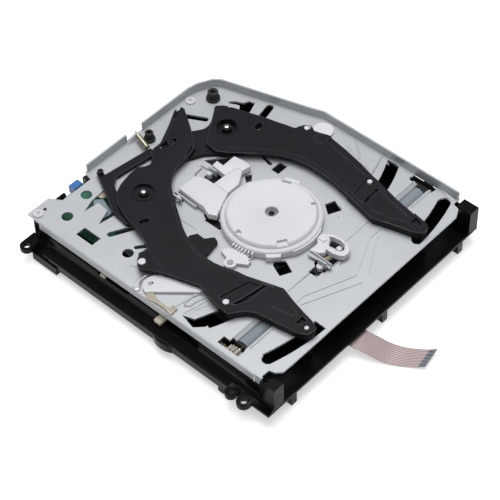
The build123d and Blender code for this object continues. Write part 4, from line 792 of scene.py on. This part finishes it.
bracket = Part("bracket_body")
for outline in (
    [(-15.8, 31.4), (-5.1, 31.1), (-2.9, 27.5), (-2.7, 21.2), (-2.7, 12.0), (-8.4, 9.8), (-12.8, 7.7),
     (-15.2, 6.8), (-17.1, 6.0), (-18.9, 9.7), (-16.8, 14.9), (-16.8, 18.8)],
    [(-2.7, 21.2), (4.65, 20.9), (12.0, 20.0), (12.0, 16.6), (7.9, 14.1), (4.7, 12.1), (-2.7, 12.0)],
    [(4.65, 20.9), (5.1, 26.4), (5.5, 30.0), (9.2, 30.3), (8.9, 26.1), (16.8, 26.2), (17.8, 20.0),
     (17.1, 15.7), (12.0, 16.6), (12.0, 20.0)],
):
    bracket.prism(outline, plate + 0.8, plate + 4.0, 0.4)
bracket.done(white_plastic, "rear_bracket", "white_plastic",
             ("rear_bracket", "left_hinge_pin", "right_hinge_pin"))

ears = Part("bracket_ears")
ears.prism([(4.1, 36.4), (5.0, 36.4), (5.3, 30.6), (4.4, 30.6)], plate - 0.2, plate + 1.0)
ears.prism([(-17.4, 33.2), (-16.6, 33.2), (-17.3, 18.6), (-18.1, 18.6)], plate - 0.2, plate + 1.9)
ears.done(sheet_metal, slot="sheet_metal")

studs = Part("bracket_studs")
for x, y in ((-18.9, 29.6), (2.4, 29.2)):
    studs.stud(x, y, 1.4, (plate - 1.8, plate + 1.4, plate + 1.8, plate + 1.9), bevel=0.35)
studs.done(white_plastic, slot="white_plastic")

wire = raised(plan(0.6, [(0.4, 45.4), (-5.2, 44.8), (-5.8, 44.0), (-5.6, 43.4)]), plate + 0.6)
Part("bracket_wire").tube(wire, 0.22, 8).done(turned_steel)


# Arms: rims painted light as a highlight, a recess and a pin at the pivot, a tab underneath, and the heads of
# their clips

pivot_x, pivot_y = 28.8, 42.2
recess_radius = 5.1
over_arm = 27.2
rim_level, rim_radius = 25.6, 0.26


def arm_details(side, pivot, recess_floor, tab, clips):
    """clips are a place on the plan, a radius and a height over the plate each."""
    body = side + "_arm"
    rims(body, rim_level, rim_radius, pivot)
    recess = (circle(*pivot, recess_radius), recess_floor, over_arm)
    carved(body, body + "_skin", arm_plastic, body, cuts=[recess])
    Part(body + "_tab").prism(tab, plate + 2.2, plate + 3.8, 0.3).done(arm_plastic, body, "arm_plastic")
    Part(side + "_pin").stud(*pivot, 1.25, (26.0, 26.75, 26.95, 27.0)).done(screw_steel, slot="screw_steel")
    heads = Part(body + "_clips")
    for place, radius, height in clips:
        (x, y), = plan(height, [place])
        over = plate + height
        heads.stud(x, y, radius, (plate + 0.9, over + 0.3, over + 0.5, over + 0.55), tip=0.2)
    heads.done(white_plastic, body, "white_plastic")


arm_details("left", (-pivot_x, pivot_y), recess_floor=25.0,
            tab=[(-50.0, 14.6), (-51.5, 15.6), (-57.1, 17.3), (-62.6, 12.9), (-62.9, 9.4), (-55.7, 2.4),
                 (-50.0, 4.0)],
            clips=(((-61.0, 24.8), 1.9, 3.8), ((-53.4, -20.2), 1.5, 4.2), ((-41.0, -57.0), 1.0, 4.3)))
arm_details("right", (pivot_x, pivot_y), recess_floor=23.2,
            tab=[(49.6, 16.2), (54.6, 15.4), (56.8, 12.2), (55.0, 9.8), (50.4, 10.8)],
            clips=(((53.2, 24.8), 1.6, 3.8), ((45.2, -21.0), 1.2, 4.2)))
rims("lock_lever", low=23.9, radius=0.34)


# Coil spring between the lock lever and the back flange, with the tab that holds it

spring_front, spring_back = Vector((-6.5, 60.4, 25.3)), Vector((-2.7, 73.0, 25.3))
spring_turns = 26
steps_per_turn = 12
spring_radius = 1.15
plain_end = 1.6


def tension_spring():
    """A hook at each end and close turns between them."""
    length = (spring_back - spring_front).length
    axis = (spring_back - spring_front).normalized()
    side = axis.cross(Vector((0, 0, 1))).normalized()
    rise = side.cross(axis)
    points = [spring_front + rise * 0.2, spring_front + axis * 0.9 + rise * 0.3]
    for step in range(spring_turns * steps_per_turn + 1):
        share = step / (spring_turns * steps_per_turn)
        turn = math.tau * spring_turns * share
        along = axis * (plain_end + (length - 2 * plain_end) * share)
        points.append(spring_front + along + (side * math.cos(turn) + rise * math.sin(turn)) * spring_radius)
    points += [spring_back - axis * 0.9 + rise * 0.3, spring_back + rise * 0.2,
               spring_back - side * 0.8 - axis * 0.4, spring_back - side * 1.0 - axis * 1.4]
    Part("spring_coil").tube(points, 0.21, 7).done(spring_steel, replace=("tension_spring",))


tension_spring()
tab = Part("spring_tab")
tab.prism([(-7.8, 72.6), (-7.6, 73.6), (-2.2, 74.4), (-1.6, 75.4), (-0.8, 75.2), (-1.4, 72.9)], 24.0, 24.6)
tab.done(sheet_metal, slot="sheet_metal")


# Bent tongue, film ends and solder points over the circuit board, seen through the back left opening

tongue = Part("board_tongue")
tongue.prism([(-44.6, 60.6), (-41.2, 57.2), (-44.2, 47.6), (-51.4, 48.6), (-49.4, 53.6)],
             plate - 1.9, plate - 1.2)
tongue.done(blue_steel, slot="sheet_metal")

ends = Part("board_ends")
for outline in ([(-42.4, 63.6), (-36.8, 61.0), (-37.6, 56.4), (-41.4, 58.0)],
                [(-40.8, 53.4), (-36.6, 51.4), (-39.6, 43.6), (-43.6, 45.6)]):
    ends.prism(outline, plate - 1.15, plate - 1.02)
ends.done(peach_film, slot="ribbon")

solder = Part("board_solder")
for x, y, radius in ((-61.0, 60.6, 1.5), (-45.4, 64.6, 1.6)):
    solder.turned(x, y, [(radius, 10.3), (radius, 10.6), (radius * 0.5, 11.2), (0.1, 11.3)], sides=24)
solder.done(gold_solder, slot="steel")


# Detection lever with a black disc of painted shade in its hole, the smoky slide beside it and the wire clip
# behind it

blade_top, slide_top = 1.6, 1.0
blade_outline = [(-73.0, 11.0), (-72.2, 13.6), (-70.0, 15.6), (-66.5, 16.4), (-63.0, 15.2), (-59.0, 12.0),
                 (-52.0, -0.6), (-50.4, -6.4), (-52.6, -8.4), (-57.0, -7.4), (-62.2, -1.2), (-70.8, 8.8)]
blade = Part("detect_blade")
blade.prism(plan(blade_top, blade_outline), plate + 0.25, plate + blade_top, 0.3)
blade.done(white_plastic, "detect_lever", "white_plastic", ("detect_lever",))
(hole_x, hole_y), = plan(blade_top, [(-67.2, 12.6)])
# A black disc flush with the blade's top: painted shade where its hole is
hole_shade = Part("detect_hole_shade").turned(hole_x, hole_y, [(0.75, plate + 1.5), (0.75, plate + 1.63)], sides=24)
hole_shade.done(black_plastic, "detect_lever", "black_plastic")

slide_outline = [(-75.4, 8.2), (-74.4, 3.0), (-74.2, -2.0), (-75.2, -6.8), (-70.4, -6.6), (-70.2, -3.8),
                 (-71.4, -3.6), (-72.2, -4.6), (-72.6, -1.0), (-72.2, 4.0), (-70.6, 8.4), (-73.0, 10.4)]
slide = Part("detect_slide")
slide.prism(plan(slide_top, slide_outline), plate + 0.05, plate + slide_top, 0.2)
slide.done(smoky_plastic, "detect_lever", "ivory_plastic", ("detect_link",))

clip = plan(1.0, [(-74.6, 17.4), (-75.2, 15.6), (-73.8, 14.6), (-72.0, 15.4), (-70.0, 17.2), (-67.0, 17.8),
                  (-63.4, 16.8)])
Part("detect_clip").tube(raised(clip, plate + 1.0), 0.3, 8).done(turned_steel)


# Floor: plain paper that rays from the camera, gloss and glass see glowing, and that keeps its shadow

floor_glow = 0.50


def floor_material():
    kit = Nodes("floor_paper")
    kit.shader.inputs["Base Color"].default_value = (0.80, 0.80, 0.80, 1)
    kit.shader.inputs["Roughness"].default_value = 0.9
    kit.shader.inputs["Emission Color"].default_value = (1, 1, 1, 1)
    ray = kit.add("ShaderNodeLightPath").outputs
    seen = kit.compute("MAXIMUM", ray["Is Camera Ray"], ray["Is Glossy Ray"])
    seen = kit.compute("MAXIMUM", seen, ray["Is Transmission Ray"])
    kit.link(kit.compute("MULTIPLY", seen, floor_glow), kit.shader.inputs["Emission Strength"])
    return kit.material


shape = bmesh.new()
bmesh.ops.create_grid(shape, x_segments=1, y_segments=1, size=4)
floor_mesh = bpy.data.meshes.new("floor")
shape.to_mesh(floor_mesh)
shape.free()
floor_mesh.materials.append(floor_material())
linked("floor", floor_mesh)


# World: near white to the camera, and for light a dome that is dimmer near the horizon

horizon_light, zenith_light = 0.08, 0.45
dome_top = 0.85


def sky():
    world = bpy.data.worlds.new("world")
    world.use_nodes = True
    tree = world.node_tree
    background = tree.nodes["Background"]
    background.inputs["Color"].default_value = (0.96, 0.975, 1.0, 1)
    place = tree.nodes.new("ShaderNodeTexCoord")
    height = tree.nodes.new("ShaderNodeSeparateXYZ")
    tree.links.new(place.outputs["Generated"], height.inputs["Vector"])
    dome = tree.nodes.new("ShaderNodeMapRange")
    tree.links.new(height.outputs["Z"], dome.inputs["Value"])
    dome.inputs["From Min"].default_value = 0.0
    dome.inputs["From Max"].default_value = dome_top
    dome.inputs["To Min"].default_value = horizon_light
    dome.inputs["To Max"].default_value = zenith_light
    ray = tree.nodes.new("ShaderNodeLightPath")
    strength = tree.nodes.new("ShaderNodeMapRange")
    tree.links.new(ray.outputs["Is Camera Ray"], strength.inputs["Value"])
    tree.links.new(dome.outputs["Result"], strength.inputs["To Min"])
    strength.inputs["To Max"].default_value = 1.0
    tree.links.new(strength.outputs["Result"], background.inputs["Strength"])
    return world


scene.world = sky()


# Lamps: a broad key from the back right and a weaker fill from the front left, both aimed at the object

def lamp(name, place, size, power, colour):
    data = bpy.data.lights.new(name, "AREA")
    data.shape = "RECTANGLE"
    data.size, data.size_y = size
    data.energy = power
    data.color = colour
    item = linked(name, data)
    item.location = place
    item.rotation_euler = (-Vector(place)).to_track_quat("-Z", "Y").to_euler()


lamp("key", (0.16, 0.15, 1.15), (0.9, 0.7), 9.5, (1.0, 0.99, 0.98))
lamp("fill", (-0.27, -0.26, 1.05), (0.6, 0.6), 1.6, (0.98, 0.99, 1.0))
scene.view_settings.view_transform = "Standard"
